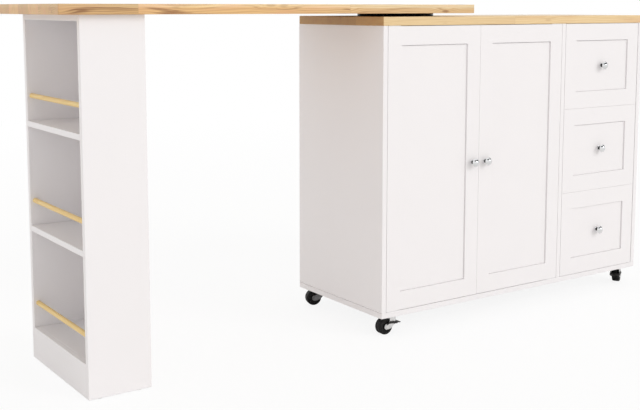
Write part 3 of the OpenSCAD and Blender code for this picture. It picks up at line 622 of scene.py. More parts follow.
# %% Cutting one mesh with another
def carved(bm, tool, how="DIFFERENCE"):
    """The first mesh after a Boolean with the second one, as a new bmesh. Both are used up."""
    blanks = []
    for part in (bm, tool):
        bmesh.ops.recalc_face_normals(part, faces=part.faces)
        blanks.append(as_object("blank", part))
    cut = blanks[0].modifiers.new("cut", "BOOLEAN")
    cut.operation, cut.object, cut.solver = how, blanks[1], "EXACT"
    result = bmesh.new()
    result.from_object(blanks[0], bpy.context.evaluated_depsgraph_get())
    for blank in blanks:
        mesh = blank.data
        bpy.data.objects.remove(blank)
        bpy.data.meshes.remove(mesh)
    return result


# %% Grooves and drilling
shelf_low, shelf_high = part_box("inner_shelf")
pin_radius, pin_drop, pin_depth = 0.0026, 0.0035, 0.010
pin_spacing, pin_inset = 0.064, 0.045
pin_rows = (shelf_low.y + pin_inset, shelf_high.y - pin_inset)
pin_height = shelf_low.z - pin_drop
groove_depth, groove_height, overshoot = 0.0024, 0.0011, 0.01


def pin_drill(x):
    """Six short rods for the pin holes in one board."""
    bm = bmesh.new()
    for y in pin_rows:
        for step in (-1, 0, 1):
            spot = Matrix.Translation((x, y, pin_height + step * pin_spacing))
            bmesh.ops.create_cone(bm, cap_ends=True, segments=24, radius1=pin_radius,
                                  radius2=pin_radius, depth=2 * pin_depth,
                                  matrix=spot @ Matrix.Rotation(radians(90), 4, "Y"))
    return bm


def side_panel(node, outside):
    """A side panel with its shadow groove. outside is the X of its outer face."""
    low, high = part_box(node)
    panel = cube_between(low, high)
    round_edges(panel, edge_ease)
    reach = Vector((groove_depth, overshoot, 0.0))
    groove = cube_between(Vector((outside, low.y, low.z - 0.001)) - reach,
                          Vector((outside, high.y, low.z + groove_height)) + reach)
    return carved(panel, groove)


# %% Side panels and divider
low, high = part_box("side_panel_left")
new_piece("left_side", carved(side_panel("side_panel_left", low.x), pin_drill(high.x)),
          white_paint, "cabinet", ["side_panel_left"])
new_piece("right_side", side_panel("side_panel_right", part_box("side_panel_right")[1].x),
          white_paint, "cabinet", ["side_panel_right"])

low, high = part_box("divider_panel")
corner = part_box("top_board")[0]
notch = cube_between((low.x - overshoot, corner.y, corner.z),
                     (high.x + overshoot, high.y + overshoot, 1.0))
divider = carved(cube_between(low, high), notch)
round_edges(divider, edge_ease)
new_piece("divider", carved(divider, pin_drill(low.x)), white_paint, "cabinet",
          ["divider_panel"])
print("shelf pins at a height of", round(pin_height, 4), "m")

# %% [markdown]
# ## The two tops
#
# Worktop and leaf are planks of glued staves with small rounded corners. The vertical corner edges
# are rounded first, with more segments, and then the long edges above and below with a smaller
# radius, which is the order in which a router and a hand sander would do it.

# %% Worktop and leaf
top_corner, top_ease = 0.003, 0.0012


def rise(edge):
    """How upright an edge is, from 0 to 1."""
    return abs((edge.verts[0].co - edge.verts[1].co).normalized().z)


def new_top(name, body, node, material):
    """A wooden top with rounded corners and eased edges."""
    bm = cube_between(*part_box(node))
    round_edges(bm, top_corner, segments=6, edges=[edge for edge in bm.edges if rise(edge) > 0.9])
    round_edges(bm, top_ease, edges=[edge for edge in bm.edges if rise(edge) < 0.1])
    return new_piece(name, bm, material, body, [node])


for top in (new_top("lower_worktop", "cabinet", "worktop", worktop_wood),
            new_top("turning_leaf", "leaf", "leaf_top", leaf_wood)):
    print(top.name, "has", len(top.data.polygons), "faces")

# %% [markdown]
# ## Framed fronts
#
# Doors and drawer fronts have a plain recessed field inside a flat frame. The same steps make it
# in the mesh: inset the front face by the frame's width, shift the new top and bottom edges a
# little because the cross members are wider, push the field back, and round the edges. The field
# is pushed a little too deep at first, inset once more by a hair, and its middle brought forward
# again. That leaves a hairline groove, which draws the fine dark line round the field. It is wider
# at the top, where the real panel has room to rise. Paint builds up on the outer edges, so the
# fronts sit half a millimetre closer than they were cut; the doors' ends get less, to stay clear
# of their pivots.

# %% A framed front
stile_width, rail_width, recess_depth = 0.050, 0.054, 0.0045
quirk_width, top_quirk, quirk_depth = 0.0004, 0.0013, 0.0040
side_build, drawer_end_build, door_end_build = 0.0005, 0.0006, 0.0002
front_ease, on_plane = 0.0006, 0.0001


def pushed(bm, face, depth):
    """Pushes a face back along Y, with new walls round it. Returns the face in its new place."""
    moved = bmesh.ops.extrude_discrete_faces(bm, faces=[face])["faces"][0]
    bmesh.ops.translate(bm, vec=(0, depth, 0), verts=moved.verts)
    return moved


def framed_front(node, end_build):
    """A board with a recessed field in its front face. end_build is how much paint builds up on
    its upper and lower end."""
    low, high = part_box(node)
    grown = Vector((side_build, 0.0, end_build))
    bm = cube_between(low - grown, high + grown)
    field = min(bm.faces, key=lambda face: face.calc_center_median().y)
    bmesh.ops.inset_region(bm, faces=[field], thickness=stile_width, use_even_offset=True)
    middle = field.calc_center_median().z
    for vert in field.verts:
        vert.co.z += (rail_width - stile_width) * (1 if vert.co.z < middle else -1)
    floor_depth = recess_depth + quirk_depth
    field = pushed(bm, field, floor_depth)
    round_edges(bm, front_ease, edges=[edge for edge in bm.edges if edge not in field.edges[:]])
    on_floor = [face for face in bm.faces
                if abs(face.calc_center_median().y - low.y - floor_depth) < on_plane]
    field = max(on_floor, key=lambda face: face.calc_area())
    bmesh.ops.inset_region(bm, faces=[field], thickness=quirk_width, use_even_offset=True)
    for vert in field.verts:
        if vert.co.z > middle:
            vert.co.z -= top_quirk - quirk_width
    pushed(bm, field, -quirk_depth)
    return bm


# %% Two doors and three drawer fronts
drawer_levels = ("top", "middle", "bottom")
for side in ("left", "right"):
    new_piece(side + "_framed_door", framed_front(side + "_door", door_end_build), white_paint,
              "door_" + side, [side + "_door"])
for level in drawer_levels:
    new_piece(level + "_framed_front", framed_front(level + "_drawer_front", drawer_end_build),
              white_paint, "drawer_" + level, [level + "_drawer_front"])
low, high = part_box("left_door")
print("a door:", [round(size, 3) for size in high - low], "m")

# %% [markdown]
# ## Drawer boxes
#
# Behind each front is a box of thinner boards: two sides, a rear wall, and a bottom that slides
# into grooves. The groove isn't seen once the bottom is in it, so the walls are plain boards here.
# The three walls are one piece, because they are glued to each other.

# %% Drawer walls and bottoms
wall_thickness, wall_ease = 0.012, 0.0008


def joined(parts):
    """Several bmeshes as one."""
    whole = bmesh.new()
    for part in parts:
        mesh = bpy.data.meshes.new("part")
        part.to_mesh(mesh)
        part.free()
        whole.from_mesh(mesh)
        bpy.data.meshes.remove(mesh)
    return whole


for level in drawer_levels:
    low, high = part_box(level + "_drawer_walls")
    inside_low, inside_high = low.x + wall_thickness, high.x - wall_thickness
    walls = [cube_between(low, (inside_low, high.y, high.z)),
             cube_between((inside_high, low.y, low.z), high),
             cube_between((inside_low, high.y - wall_thickness, low.z),
                          (inside_high, high.y, high.z))]
    for wall in walls:
        round_edges(wall, wall_ease)
    new_piece(level + "_drawer_box", joined(walls), white_paint, "drawer_" + level,
              [level + "_drawer_walls"])
    new_board(level + "_drawer_bottom", "drawer_" + level, level + "_drawer_floor")
print("inside a drawer:", round(inside_high - inside_low, 3), "m wide")

# %% [markdown]
# ## Turned pieces
#
# Knobs, turntable plates, wheels, rails and glides are all made on a lathe or in a round mould.
# Blender's spin is the same idea: half an outline is turned about an axis. The outline is drawn as
# a chain of points; where it curves, the last point is itself spun in the drawing plane, which
# gives a true arc. After the full turn, doubled points are merged and the shape is stood where it
# belongs.

# %% The lathe
def turned(outline, steps=64):
    """Spins half an outline about Z. A step is (radius, height), or an arc of the point before:
    ("arc", centre radius, centre height, degrees, segments)."""
    bm = bmesh.new()
    last = bm.verts.new((outline[0][0], 0, outline[0][1]))
    for step in outline[1:]:
        if step[0] == "arc":
            centre_radius, centre_height, angle, segments = step[1:]
            made = bmesh.ops.spin(bm, geom=[last], cent=(centre_radius, 0, centre_height),
                                  axis=(0, -1, 0), angle=radians(angle), steps=segments)
            last = next(item for item in made["geom_last"]
                        if isinstance(item, bmesh.types.BMVert))
        else:
            point = bm.verts.new((step[0], 0, step[1]))
            bm.edges.new((last, point))
            last = point
    bmesh.ops.spin(bm, geom=bm.verts[:] + bm.edges[:], cent=(0, 0, 0), axis=(0, 0, 1),
                   angle=radians(360), steps=steps, use_merge=True)
    bmesh.ops.remove_doubles(bm, verts=bm.verts, dist=0.00001)
    return bm


def rod(radius, low, high, ease, segments):
    """Half the outline of a rod with eased ends."""
    flat = radius - ease
    return [(0, low), (flat, low), ("arc", flat, low + ease, 90, segments),
            (radius, high - ease), ("arc", flat, high - ease, 90, segments), (0, high)]


def stood(bm, at, towards=(0, 0, 1)):
    """Turns a piece's Z axis to a direction and moves its origin to a place."""
    turn = Vector((0, 0, 1)).rotation_difference(Vector(towards)).to_matrix().to_4x4()
    bmesh.ops.transform(bm, matrix=Matrix.Translation(at) @ turn, verts=bm.verts)
    return bm


# %% [markdown]
# ## Knobs
#
# The knobs are small chrome mushrooms: a flat foot on the front, a slim neck, and a broad domed
# head with a thin rounded rim. A black sleeve round the neck is painted shade: it gives the neck
# the dark look of its own shadow. A screw through the front holds each knob. All five are alike,
# so one outline of each part serves for all. The dome is one arc, which keeps the reflection on
# it clean.

# %% Outlines of a knob, its shade sleeve and its screw
knob_height, rim_radius, rim_bead, rim_level = 0.024, 0.0120, 0.0010, 0.0161
rim_turn = 120
bead_end = (rim_radius + rim_bead * cos(radians(rim_turn - 90)),
            rim_level + rim_bead * sin(radians(rim_turn - 90)))
dome_centre = ((knob_height ** 2 - bead_end[0] ** 2 - bead_end[1] ** 2)
               / (2 * (knob_height - bead_end[1])))
dome_turn = degrees(atan2(bead_end[0], bead_end[1] - dome_centre))
knob_outline = [(0, 0), (0.0070, 0), ("arc", 0.0070, 0.0005, 90, 3), (0.0075, 0.0011),
                ("arc", 0.0070, 0.0011, 90, 3), (0.0060, 0.0018), (0.0049, 0.0030),
                (0.0045, 0.0046), (0.0045, 0.0102), (0.0052, 0.0116), (0.0070, 0.0130),
                (0.0105, 0.0146), (rim_radius, rim_level - rim_bead),
                ("arc", rim_radius, rim_level, rim_turn, 8),
                ("arc", 0, dome_centre, dome_turn, 14)]
# The black sleeve is painted shade: a dark ring where the neck shows its own shadow.
neck_shade_outline = [(0.0040, 0.0019), (0.0056, 0.0019), ("arc", 0.0056, 0.0023, 90, 3),
                  (0.0054, 0.0070), (0.0060, 0.0114), ("arc", 0.0056, 0.0114, 90, 3),
                  (0.0040, 0.0118), (0.0040, 0.0019)]
screw_outline = [(0, 0), (0.0030, 0), ("arc", 0.0030, 0.0015, 90, 5), (0.0045, 0.0022),
                 (0.0020, 0.0022), (0.0020, 0.0260), (0, 0.0265)]
print("dome radius:", round(knob_height - dome_centre, 4))


# %% Five knobs with their shade sleeves and screws
def cross_cut(head, length, width, low, high):
    """Cuts the cross for a screwdriver into a screw's head, one slot after the other."""
    for x, y in ((length / 2, width / 2), (width / 2, length / 2)):
        head = carved(head, cube_between((-x, -y, low), (x, y, high)))
    return head


def knob(level, body, node):
    """A knob, its black sleeve of painted shade and its screw in the place of one CAD node."""
    low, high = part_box(node)
    middle_x, middle_z = (low.x + high.x) / 2, (low.z + high.z) / 2
    foot = Vector((middle_x, low.y + knob_height, middle_z))
    new_piece(level + "_chrome_knob", stood(turned(knob_outline), foot, (0, -1, 0)), chrome, body,
              [node])
    # The black sleeve round the neck is painted shade.
    new_piece(level + "_knob_neck_shade", stood(turned(neck_shade_outline), foot, (0, -1, 0)),
              black_plastic, body)
    screw = cross_cut(turned(screw_outline, steps=32), length=0.0048, width=0.0009, low=-0.001,
                      high=0.0014)
    new_piece(level + "_knob_screw", stood(screw, (middle_x, high.y, middle_z), (0, -1, 0)), zinc,
              body)


for side in ("left", "right"):
    knob(side + "_door", "door_" + side, side + "_door_knob")
for level in drawer_levels:
    knob(level + "_drawer", "drawer_" + level, level + "_drawer_knob")
print("knobs:", 2 + len(drawer_levels))

# %% [markdown]
# ## The turntable
#
# Two black pressed rings with a ring of balls between them carry the leaf. The lower one is
# screwed to the worktop, the upper one to the leaf, and a spigot in the middle keeps them
# together. Both are turned outlines, with the groove that the balls run in as an arc, so the balls
# fit between them. The upper ring's rim is turned down almost to the lower one, which keeps crumbs
# out of the balls.

# %% Sizes of the turntable
plate_low, plate_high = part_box("turntable_lower_plate")
upper_low, upper_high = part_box("turntable_upper_plate")
pivot = Vector(joints["leaf_swing"]["pos_m"])
plate_radius = (plate_high.x - plate_low.x) / 2
plate_thickness = plate_high.z - plate_low.z
race_radius, race_groove, rim_round = 0.095, 0.0028, 0.0008
spigot_radius, spigot_ease, hole_radius, lip_gap = 0.0120, 0.0005, 0.01205, 0.0007
race_level = (upper_high.z - plate_low.z) / 2
groove_angle = degrees(atan2(race_level - plate_thickness,
                             (race_groove ** 2 - (race_level - plate_thickness) ** 2) ** 0.5))
groove_edge = race_groove * cos(radians(groove_angle))
print("turntable:", round(2 * plate_radius, 3), "m across")


# %% Turntable plates
def plate_outline(inner, lip=0.0):
    """Half the outline of a turntable plate that lies on its back, groove upwards. lip is how far
    the rim is turned up."""
    flat, top = plate_radius - rim_round, plate_thickness + lip
    return [(inner, 0), (flat, 0), ("arc", flat, rim_round, 90, 4),
            (plate_radius, top - rim_round), ("arc", flat, top - rim_round, 90, 4),
            (flat - 0.0002, top), (flat - 0.0006, plate_thickness + 0.0001),
            (race_radius + groove_edge, plate_thickness),
            ("arc", race_radius, race_level, 2 * groove_angle - 180, 8),
            (inner, plate_thickness), (inner, 0)]


lower_plate = stood(turned(plate_outline(hole_radius), steps=128), (pivot.x, pivot.y, plate_low.z))
new_piece("turntable_base_ring", lower_plate, black_coat, "cabinet", ["turntable_lower_plate"])
spigot_length = upper_high.z - upper_low.z
gap = upper_high.z - plate_low.z - 2 * plate_thickness
upper_outline = [(0, 0)] + plate_outline(spigot_radius, lip=gap - lip_gap)[:-1] + [
    (spigot_radius, spigot_length - spigot_ease), (spigot_radius - spigot_ease, spigot_length),
    (0, spigot_length)]
upper_plate = turned(upper_outline, steps=128)
upper_plate = stood(upper_plate, (pivot.x, pivot.y, upper_high.z), (0, 0, -1))
new_piece("turntable_top_ring", upper_plate, black_coat, "leaf", ["turntable_upper_plate"])
print("the plates lie", round(gap, 4), "m apart")

# %% Turntable screws
plate_screws, screw_ring, first_screw, head_depth = 6, 0.065, 30, 0.0021
head_outline = [(0, 0), (0.0020, 0.0002), (0.0038, 0.0020), (0.0034, 0.0023), (0, 0.0024)]
for name, body, level, way in (("turntable_base_screws", "cabinet", plate_low.z, 1),
                               ("turntable_top_screws", "leaf", upper_high.z, -1)):
    heads = []
    for number in range(plate_screws):
        turn = radians(first_screw + 360 * number / plate_screws)
        head = cross_cut(turned(head_outline, steps=24), length=0.0040, width=0.0008,
                         low=0.0012, high=0.0040)
        spot = (pivot.x + screw_ring * cos(turn), pivot.y + screw_ring * sin(turn),
                level + way * (plate_thickness - head_depth))
        heads.append(stood(head, spot, (0, 0, way)))
    new_piece(name, joined(heads), zinc, body)
print("screws in each plate:", plate_screws)

# %% [markdown]
# ## Rails and glides
#
# A dowel rail keeps bottles on each shelf. It is a plain rod, a little rounded at its ends, which
# sit in sockets in the tower's sides. Under the tower are four plastic glides, each with a nail. A
# cylinder would nearly do for both, but its rims would be as sharp as a knife, so they are turned
# too.

# %% Dowel rails
rail_low, rail_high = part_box("tower_rails")
rail_radius, rail_rise, end_ease = 0.0065, 0.066, 0.0008
rail_outline = rod(rail_radius, 0, rail_high.y - rail_low.y, end_ease, 3)
rails = []
for shelf in ("tower_bottom_shelf", "tower_lower_shelf", "tower_upper_shelf"):
    rail_axis = (rail_low.x + rail_radius, rail_low.y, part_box(shelf)[1].z + rail_rise)
    rails.append(stood(turned(rail_outline, steps=40), rail_axis, (0, 1, 0)))
new_piece("shelf_rails", joined(rails), rail_wood, "leaf", ["tower_rails"])
print("rails:", len(rails))

# %% Glides with their nails
glide_low, glide_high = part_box("tower_glides")
glide_radius, glide_height, nail_radius, nail_point = 0.006, 0.002, 0.0015, 0.001
glide_outline = [(0, 0), (glide_radius - end_ease, 0),
                 ("arc", glide_radius - end_ease, end_ease, 90, 4), (glide_radius, glide_height),
                 (nail_radius, glide_height), (nail_radius, glide_high.z - nail_point),
                 (0, glide_high.z)]
glides = [stood(turned(glide_outline, steps=32), (x, y, 0))
          for x in (glide_low.x + glide_radius, glide_high.x - glide_radius)
          for y in (glide_low.y + glide_radius, glide_high.y - glide_radius)]
new_piece("tower_feet", joined(glides), white_plastic, "leaf", ["tower_glides"])
print("glides:", len(glides))

# %% [markdown]
# ## Casters
#
# Each corner rolls on a swivel caster. A square plate is screwed under the cabinet and carries a
# pressed fork on a king pin. The fork's legs curve down and back to the axle, so that the wheel
# trails behind the pin and follows the push. The casters stand at different angles, as they would
# after the island was rolled into place. Each is drawn in its own frame, with the swivel axis at
# the origin and the wheel behind it, and then turned to the heading that its roll joint gives.

# %% Sizes that the casters share
wheel_radius, wheel_half, axle_level, trail = 0.024, 0.0125, 0.024, 0.020
sheet, crown_level, crown_radius, crown_half = 0.0016, 0.049, 0.0155, 0.012
bend_radius = 0.0026
leg_inner, axle_radius, eye_radius = 0.0133, 0.003, 0.0082
leg_outer = leg_inner + sheet
stud_x, stud_level, stud_radius = -0.004, 0.034, 0.0025
corners = ("front_left", "front_right", "rear_left", "rear_right")
braked = ("front_left", "front_right")
print("casters trail by", trail, "m")


# %% Placing a caster's piece, and plates with any outline
def at_corner(bm, corner):
    """Turns a caster's piece to its heading and moves it under its corner."""
    axle = joints[corner + "_roll"]["axis"]
    heading = Matrix.Rotation(atan2(-axle[0], axle[1]), 4, "Z")
    swivel = joints[corner + "_swivel"]["pos_m"]
    spot = Matrix.Translation((swivel[0], swivel[1], 0))
    bmesh.ops.transform(bm, matrix=spot @ heading, verts=bm.verts)
    return bm


def thickened(bm, shift):
    """Extrudes a flat face to a plate or a bar."""
    raised = bmesh.ops.extrude_face_region(bm, geom=bm.faces[:])["geom"]
    bmesh.ops.translate(bm, vec=shift,
                        verts=[item for item in raised if isinstance(item, bmesh.types.BMVert)])
    bmesh.ops.recalc_face_normals(bm, faces=bm.faces)
    return bm


def slab(points, low, high, rounded=None):
    """A plate from its outline in the XZ plane, with Y from low to high. rounded gives the radius
    of its outline's corners."""
    bm = bmesh.new()
    bm.faces.new([bm.verts.new((x, low, z)) for x, z in points])
    if rounded:
        bmesh.ops.bevel(bm, geom=bm.verts[:], offset=rounded, segments=5, affect="VERTICES",
                        profile=0.5, material=-1, clamp_overlap=True)
    return thickened(bm, (0, high - low, 0))


# %% [markdown]
# ## Wheels
#
# The wheel is one moulding: a tyre with soft shoulders, a raised rim, a sunk web and a hub. It
# could be inset and bevelled out of a cylinder, but one turned outline keeps all of it true to the
# axle. The outline runs from the bore out along one side, over the tread and back along the other.

# %% Four wheels
bore, hub_radius, rim_inside, web = axle_radius + 0.00005, 0.0080, 0.0175, 0.0022
shoulder, edge_round, slope = 0.0045, 0.0006, 0.0004
flank, sunk = wheel_half, wheel_half - web
wheel_outline = [(bore, -flank), (hub_radius - edge_round, -flank),
                 ("arc", hub_radius - edge_round, edge_round - flank, 90, 3),
                 (hub_radius + slope, -sunk),
                 (rim_inside - edge_round, -sunk), (rim_inside, slope - flank),
                 (rim_inside + edge_round, -flank), (wheel_radius - shoulder, -flank),
                 ("arc", wheel_radius - shoulder, shoulder - flank, 90, 8),
                 (wheel_radius, flank - shoulder),
                 ("arc", wheel_radius - shoulder, flank - shoulder, 90, 8),
                 (rim_inside + edge_round, flank), (rim_inside, flank - slope),
                 (rim_inside - edge_round, sunk), (hub_radius + slope, sunk),
                 (hub_radius, flank - edge_round),
                 ("arc", hub_radius - edge_round, flank - edge_round, 90, 3),
                 (bore, flank), (bore, -flank)]
for corner in corners:
    wheel = stood(turned(wheel_outline, steps=72), (-trail, 0, axle_level), (0, 1, 0))
    new_piece(corner + "_tyre_and_hub", at_corner(wheel, corner), wheel_black, "wheel_" + corner,
              [corner + "_wheel"])
print("wheels:", 2 * wheel_radius, "m across")

# %% [markdown]
# ## Forks
#
# A fork is punched from sheet and folded: crown in the middle, a leg bent down on each side. The
# fold is drawn as a section across the caster, extruded along it, and then cut to the side outline
# of the legs by a Boolean that keeps what both shapes share. That leaves rounded bends at the top
# and curved edges along the legs, as on the real pressing.

# %% The side outline of a fork
def arc(centre, radius, first, last, count):
    """Points along an arc in the XZ plane, from one angle in degrees to another."""
    angles = [radians(first + (last - first) * step / count) for step in range(count + 1)]
    return [(centre[0] + radius * cos(angle), centre[1] + radius * sin(angle)) for angle in angles]


straight_foot, hollow_share, clear_above = 0.004, 0.65, 0.001
sweep_radius = crown_half + trail - straight_foot
hollow_radius = hollow_share * (crown_level - axle_level - eye_radius)
sweep = arc((crown_half - sweep_radius, axle_level - eye_radius + sweep_radius), sweep_radius,
            0, -90, 14)
eye = arc((-trail, axle_level), eye_radius, -90, -270, 16)
hollow = arc((-trail, axle_level + eye_radius + hollow_radius), hollow_radius, -90, 32, 12)
above = crown_level + sheet + clear_above
leg_points = ([(-crown_half, above), (crown_half, above)] + sweep + eye + hollow[1:]
              + [(-crown_half, crown_level)])
print("points round a leg:", len(leg_points))

# %% The folded sheet
leg_end, bar_half, cut_half, sheet_ease = 0.010, 0.040, 0.030, 0.0002
on_level, fold_length = 0.0001, 0.05


def folded_sheet():
    """The crown and legs of a fork, cut from a folded bar in the caster's own frame."""
    section = bmesh.new()
    outside = [(-leg_outer, leg_end), (-leg_outer, crown_level + sheet),
               (leg_outer, crown_level + sheet), (leg_outer, leg_end)]
    inside = [(leg_inner, leg_end), (leg_inner, crown_level), (-leg_inner, crown_level),
              (-leg_inner, leg_end)]
    section.faces.new([section.verts.new((-bar_half, y, z)) for y, z in outside + inside])
    section = thickened(section, (2 * bar_half, 0, 0))
    for level, radius in ((crown_level + sheet, bend_radius), (crown_level, bend_radius - sheet)):
        folds = [edge for edge in section.edges
                 if all(abs(vert.co.z - level) < on_level for vert in edge.verts)
                 and abs(edge.verts[0].co.x - edge.verts[1].co.x) > fold_length]
        bmesh.ops.bevel(section, geom=folds, offset=radius, segments=5, affect="EDGES",
                        profile=0.5, material=-1, clamp_overlap=True)
    silhouette = slab(leg_points, -cut_half, cut_half)
    folded = carved(section, silhouette, "INTERSECT")
    round_edges(folded, sheet_ease, segments=2, steeper_than=50)
    return folded


# %% Four forks with their axles
axle_head, crown_ease = 0.0012, 0.0003
stud_height, stud_straight, stud_ease = 0.0039, 0.0036, 0.0004


def fork(with_studs):
    """A fork with its axle, and with the studs of a brake, in the caster's own frame."""
    folded = folded_sheet()
    crown = turned(rod(crown_radius, crown_level, crown_level + sheet, crown_ease, 2), steps=48)
    reach = leg_outer + axle_head
    axle = turned([(0, -reach), (axle_radius + 0.0010, -reach), (axle_radius + 0.0015, -leg_outer),
                   (axle_radius, -leg_outer), (axle_radius, leg_outer),
                   (axle_radius + 0.0015, leg_outer), (axle_radius + 0.0010, reach), (0, reach)],
                  steps=32)
    parts = [folded, crown, stood(axle, (-trail, 0, axle_level), (0, 1, 0))]
    if with_studs:
        for way in (-1, 1):
            stud = turned([(0, 0), (stud_radius, 0), (stud_radius, stud_straight),
                           (stud_radius - stud_ease, stud_height), (0, stud_height)], steps=24)
            parts.append(stood(stud, (stud_x, way * leg_inner, stud_level), (0, way, 0)))
    return joined(parts)


# The rear forks take the darker plating, which is painted shade under the cabinet.
for corner in corners:
    new_piece(corner + "_pressed_fork", at_corner(fork(corner in braked), corner),
              zinc if corner in braked else rear_zinc_painted_shade, "caster_" + corner, [corner + "_fork"])
print("forks reach", round(leg_outer, 4), "m to each side")

# %% [markdown]
# ## Brake pedals
#
# The two front casters have a foot brake: a black pedal that hangs on studs on the fork and
# presses a shoe on the tyre when it is stepped on. Its arms are flat plates beside the fork that
# arch over the axle, joined by a tread that points away from the wheel, thicker at the root and
# thin at the tip. Such a shape is easiest to draw from the side, so each part is an outline with
# rounded corners, extruded across the caster.

# %% Outlines of a pedal
arm_inner = leg_outer + 0.0003
arm_outer = arm_inner + 0.002
root_x, tip_x = crown_half + 0.0012, 0.033
tread_points = [(root_x, 0.0290), (root_x, 0.0346), (root_x + 0.004, 0.0350),
                (tip_x - 0.004, 0.0322), (tip_x, 0.0302), (tip_x - 0.0012, 0.0290),
                (root_x + 0.006, 0.0310), (root_x + 0.003, 0.0290)]
arm_points = [(-0.0205, 0.0305), (-0.0160, 0.0345), (-0.0100, 0.0376), (-0.0040, 0.0388),
              (0.0040, 0.0382), (0.0110, 0.0362), (root_x + 0.003, 0.0350),
              (root_x + 0.003, 0.0290), (0.0060, 0.0300), (-0.0040, 0.0318), (-0.0110, 0.0318),
              (-0.0160, 0.0306), (-0.0195, 0.0292)]
shoe_points = [(0.0075, 0.0260), (0.0075, 0.0310), (root_x, 0.0330), (root_x + 0.002, 0.0290)]
print("the tread reaches", tip_x, "m from the king pin")

# %% Two brake pedals
pedal_ease, tread_ease, taper_length, tip_width, shoe_play = 0.0004, 0.0005, 0.006, 0.8, 0.0003
tread_corner, arm_corner = 0.0008, 0.0006


def pedal():
    """A brake pedal in the caster's own frame."""
    tread = slab(tread_points, -arm_outer, arm_outer, rounded=tread_corner)
    tip = [vert for vert in tread.verts if vert.co.x > tip_x - taper_length]
    bmesh.ops.scale(tread, vec=(1, tip_width, 1), verts=tip)
    round_edges(tread, tread_ease, segments=2, steeper_than=50)
    parts = [tread]
    for low, high in ((arm_inner, arm_outer), (-arm_outer, -arm_inner)):
        arm = slab(arm_points, low, high, rounded=arm_corner)
        round_edges(arm, pedal_ease, segments=2, steeper_than=50)
        parts.append(arm)
    half = leg_inner - shoe_play
    shoe = slab(shoe_points, -half, half)
    round_edges(shoe, pedal_ease, segments=2)
    parts.append(shoe)
    return joined(parts)


for corner in braked:
    new_piece(corner + "_brake_pedal", at_corner(pedal(), corner), black_plastic,
              "brake_" + corner, [corner + "_pedal"])
print("pedals:", len(braked))

# %% [markdown]
# ## Finishes for what stays
#
# Some nodes need no new shape: slides, hinge plates, catches, balls and screws. Their meshes are
# left exactly as they are, and only their material slot is filled with a finish from above.

# %% Finishes on CAD nodes
kept_nodes = ["shelf_pins", "drawer_rails", "door_pivot_plates", "door_catches",
              "turntable_bearing", "caster_plates", "caster_screws", "left_door_fittings",
              "right_door_fittings"] + [level + "_drawer_slides" for level in drawer_levels]
for node in kept_nodes:
    nodes[node].data.materials.clear()
    nodes[node].data.materials.append(white_plastic if node == "door_catches" else zinc)
print("kept nodes:", len(kept_nodes))

# %% [markdown]
# ## Floor, light and camera
#
# The photograph has a white studio all round. The floor is a large pale sheet. For the camera it
# glows, so that it reads as white. Near the island part of its colour still comes from the light
# that falls on it, and so the island keeps its shadow; far out it is all glow, and floor and
# background meet without a line. The world is plain white for the camera and for reflections. As
# light it is brighter at the walls than at the ceiling, because a studio's light comes from the
# side.

# %% Floor
floor_size, shadow_reach, far_away, near_glow = 14.0, 1.2, 6.0, 0.87
floor_paint = bpy.data.materials.new("pale floor")
tree = emptied(floor_paint)
matt = put(tree, "ShaderNodeBsdfDiffuse", {"Color": (0.95, 0.95, 0.95)})
glow = put(tree, "ShaderNodeEmission", {"Color": (1.0, 1.0, 1.0), "Strength": 1.0})
seen = put(tree, "ShaderNodeLightPath").outputs["Is Camera Ray"]
away = length(tree, put(tree, "ShaderNodeTexCoord").outputs["Object"])
share = calc(tree, "MULTIPLY", seen, between(tree, away, shadow_reach, far_away, near_glow, 1.0))
both = put(tree, "ShaderNodeMixShader", {0: share, 1: matt.outputs[0], 2: glow.outputs[0]})
put(tree, "ShaderNodeOutputMaterial", {"Surface": both.outputs[0]})

floor_sheet = bmesh.new()
bmesh.ops.create_grid(floor_sheet, x_segments=8, y_segments=8, size=floor_size)
as_object("floor", floor_sheet, floor_paint)
print("floor:", 2 * floor_size, "m across")

# %% World
world = bpy.data.worlds.new("white studio")
bpy.context.scene.world = world
tree = emptied(world)
rays = put(tree, "ShaderNodeLightPath").outputs
direct = calc(tree, "MAXIMUM", rays["Is Camera Ray"],
              calc(tree, "MAXIMUM", rays["Is Glossy Ray"], rays["Is Transmission Ray"]))
direction = put(tree, "ShaderNodeTexCoord").outputs["Generated"]
wall_light, ceiling_light, ceiling_from = 1.24, 0.7, 0.8
room_light = between(tree, split(tree, direction)["Z"], 0.0, ceiling_from, wall_light,
                     ceiling_light)
strength = calc(tree, "MULTIPLY_ADD", direct, calc(tree, "SUBTRACT", 1.0, room_light), room_light)
tint = mix_colours(tree, direct, (1.0, 0.985, 0.965), (1.0, 1.0, 1.0))
sky = put(tree, "ShaderNodeBackground", {"Color": tint, "Strength": strength})
put(tree, "ShaderNodeOutputWorld", {"Surface": sky.outputs[0]})
print("light at the walls:", wall_light, "at the ceiling:", ceiling_light)


# %% Lamps
def soft_sun(name, towards, strength, spread):
    """Even light from far away. towards is the way that it shines, spread how many degrees it
    covers, and so how soft its shadows are."""
    lamp = bpy.data.lights.new(name, "SUN")
    lamp.energy, lamp.angle = strength, radians(spread)
    holder = bpy.data.objects.new(name, lamp)
    bpy.context.scene.collection.objects.link(holder)
    holder.rotation_euler = Vector(towards).to_track_quat("-Z", "Y").to_euler()


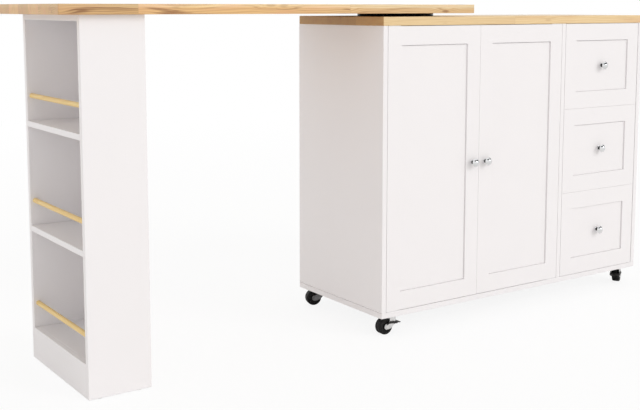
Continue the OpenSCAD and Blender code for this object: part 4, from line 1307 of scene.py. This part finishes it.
soft_sun("key light", (-0.45, 0.75, -0.5), 0.74, 25)
print("lamps:", len(bpy.data.lights))

# %% [markdown]
# ## Dark cards for the chrome
#
# Chrome has no colour of its own. In an all white room it looks like white china, so a
# photographer hangs dark cards where the metal mirrors them. The same is done here, with two large
# cards overhead in front of the island: they take part in reflections and in nothing else.

# %% Dark cards
card_paint = bpy.data.materials.new("dark card")
tree = emptied(card_paint)
matt = put(tree, "ShaderNodeBsdfDiffuse", {"Color": (0.05, 0.05, 0.051)})
put(tree, "ShaderNodeOutputMaterial", {"Surface": matt.outputs[0]})
card_height, down = 3.0, (0.0, 0.0, -1.0)


def dark_card(name, x, y, half_size):
    """A level card that only reflections see."""
    sheet_of_card = bmesh.new()
    bmesh.ops.create_grid(sheet_of_card, x_segments=2, y_segments=2, size=1.0)
    bmesh.ops.scale(sheet_of_card, vec=(*half_size, 1.0), verts=sheet_of_card.verts)
    card = as_object(name, stood(sheet_of_card, (x, y, card_height), down), card_paint)
    card.visible_camera = card.visible_diffuse = card.visible_shadow = False
    card.visible_transmission = card.visible_volume_scatter = False


dark_card("card_middle", 0.8, -3.0, (1.1, 2.4))
dark_card("card_right", 5.6, -2.2, (1.6, 2.8))
print("cards hang at", card_height, "m")

# %% [markdown]
# ## Camera
#
# The photograph is taken from the height of the leaf, by a level camera whose lens is shifted
# down. A lens shift stays on in every other view, so only part of it is used here, and a slight
# downward tilt does the rest.

# %% Camera
lens, lens_shift, tilt_down, turn_right = 58.62, -0.12, 6.594, 34.484
camera_data = bpy.data.cameras.new("camera")
camera_data.sensor_width, camera_data.lens, camera_data.shift_y = 36.0, lens, lens_shift
camera = bpy.data.objects.new("camera", camera_data)
bpy.context.scene.collection.objects.link(camera)
camera.location = (-1.8674, -2.4877, 0.9408)
camera.rotation_euler = (radians(90 - tilt_down), 0.0, radians(-turn_right))
bpy.context.scene.camera = camera
bpy.context.scene.view_settings.view_transform = "Standard"
print("camera:", lens, "mm lens, tilted down by", tilt_down, "degrees")
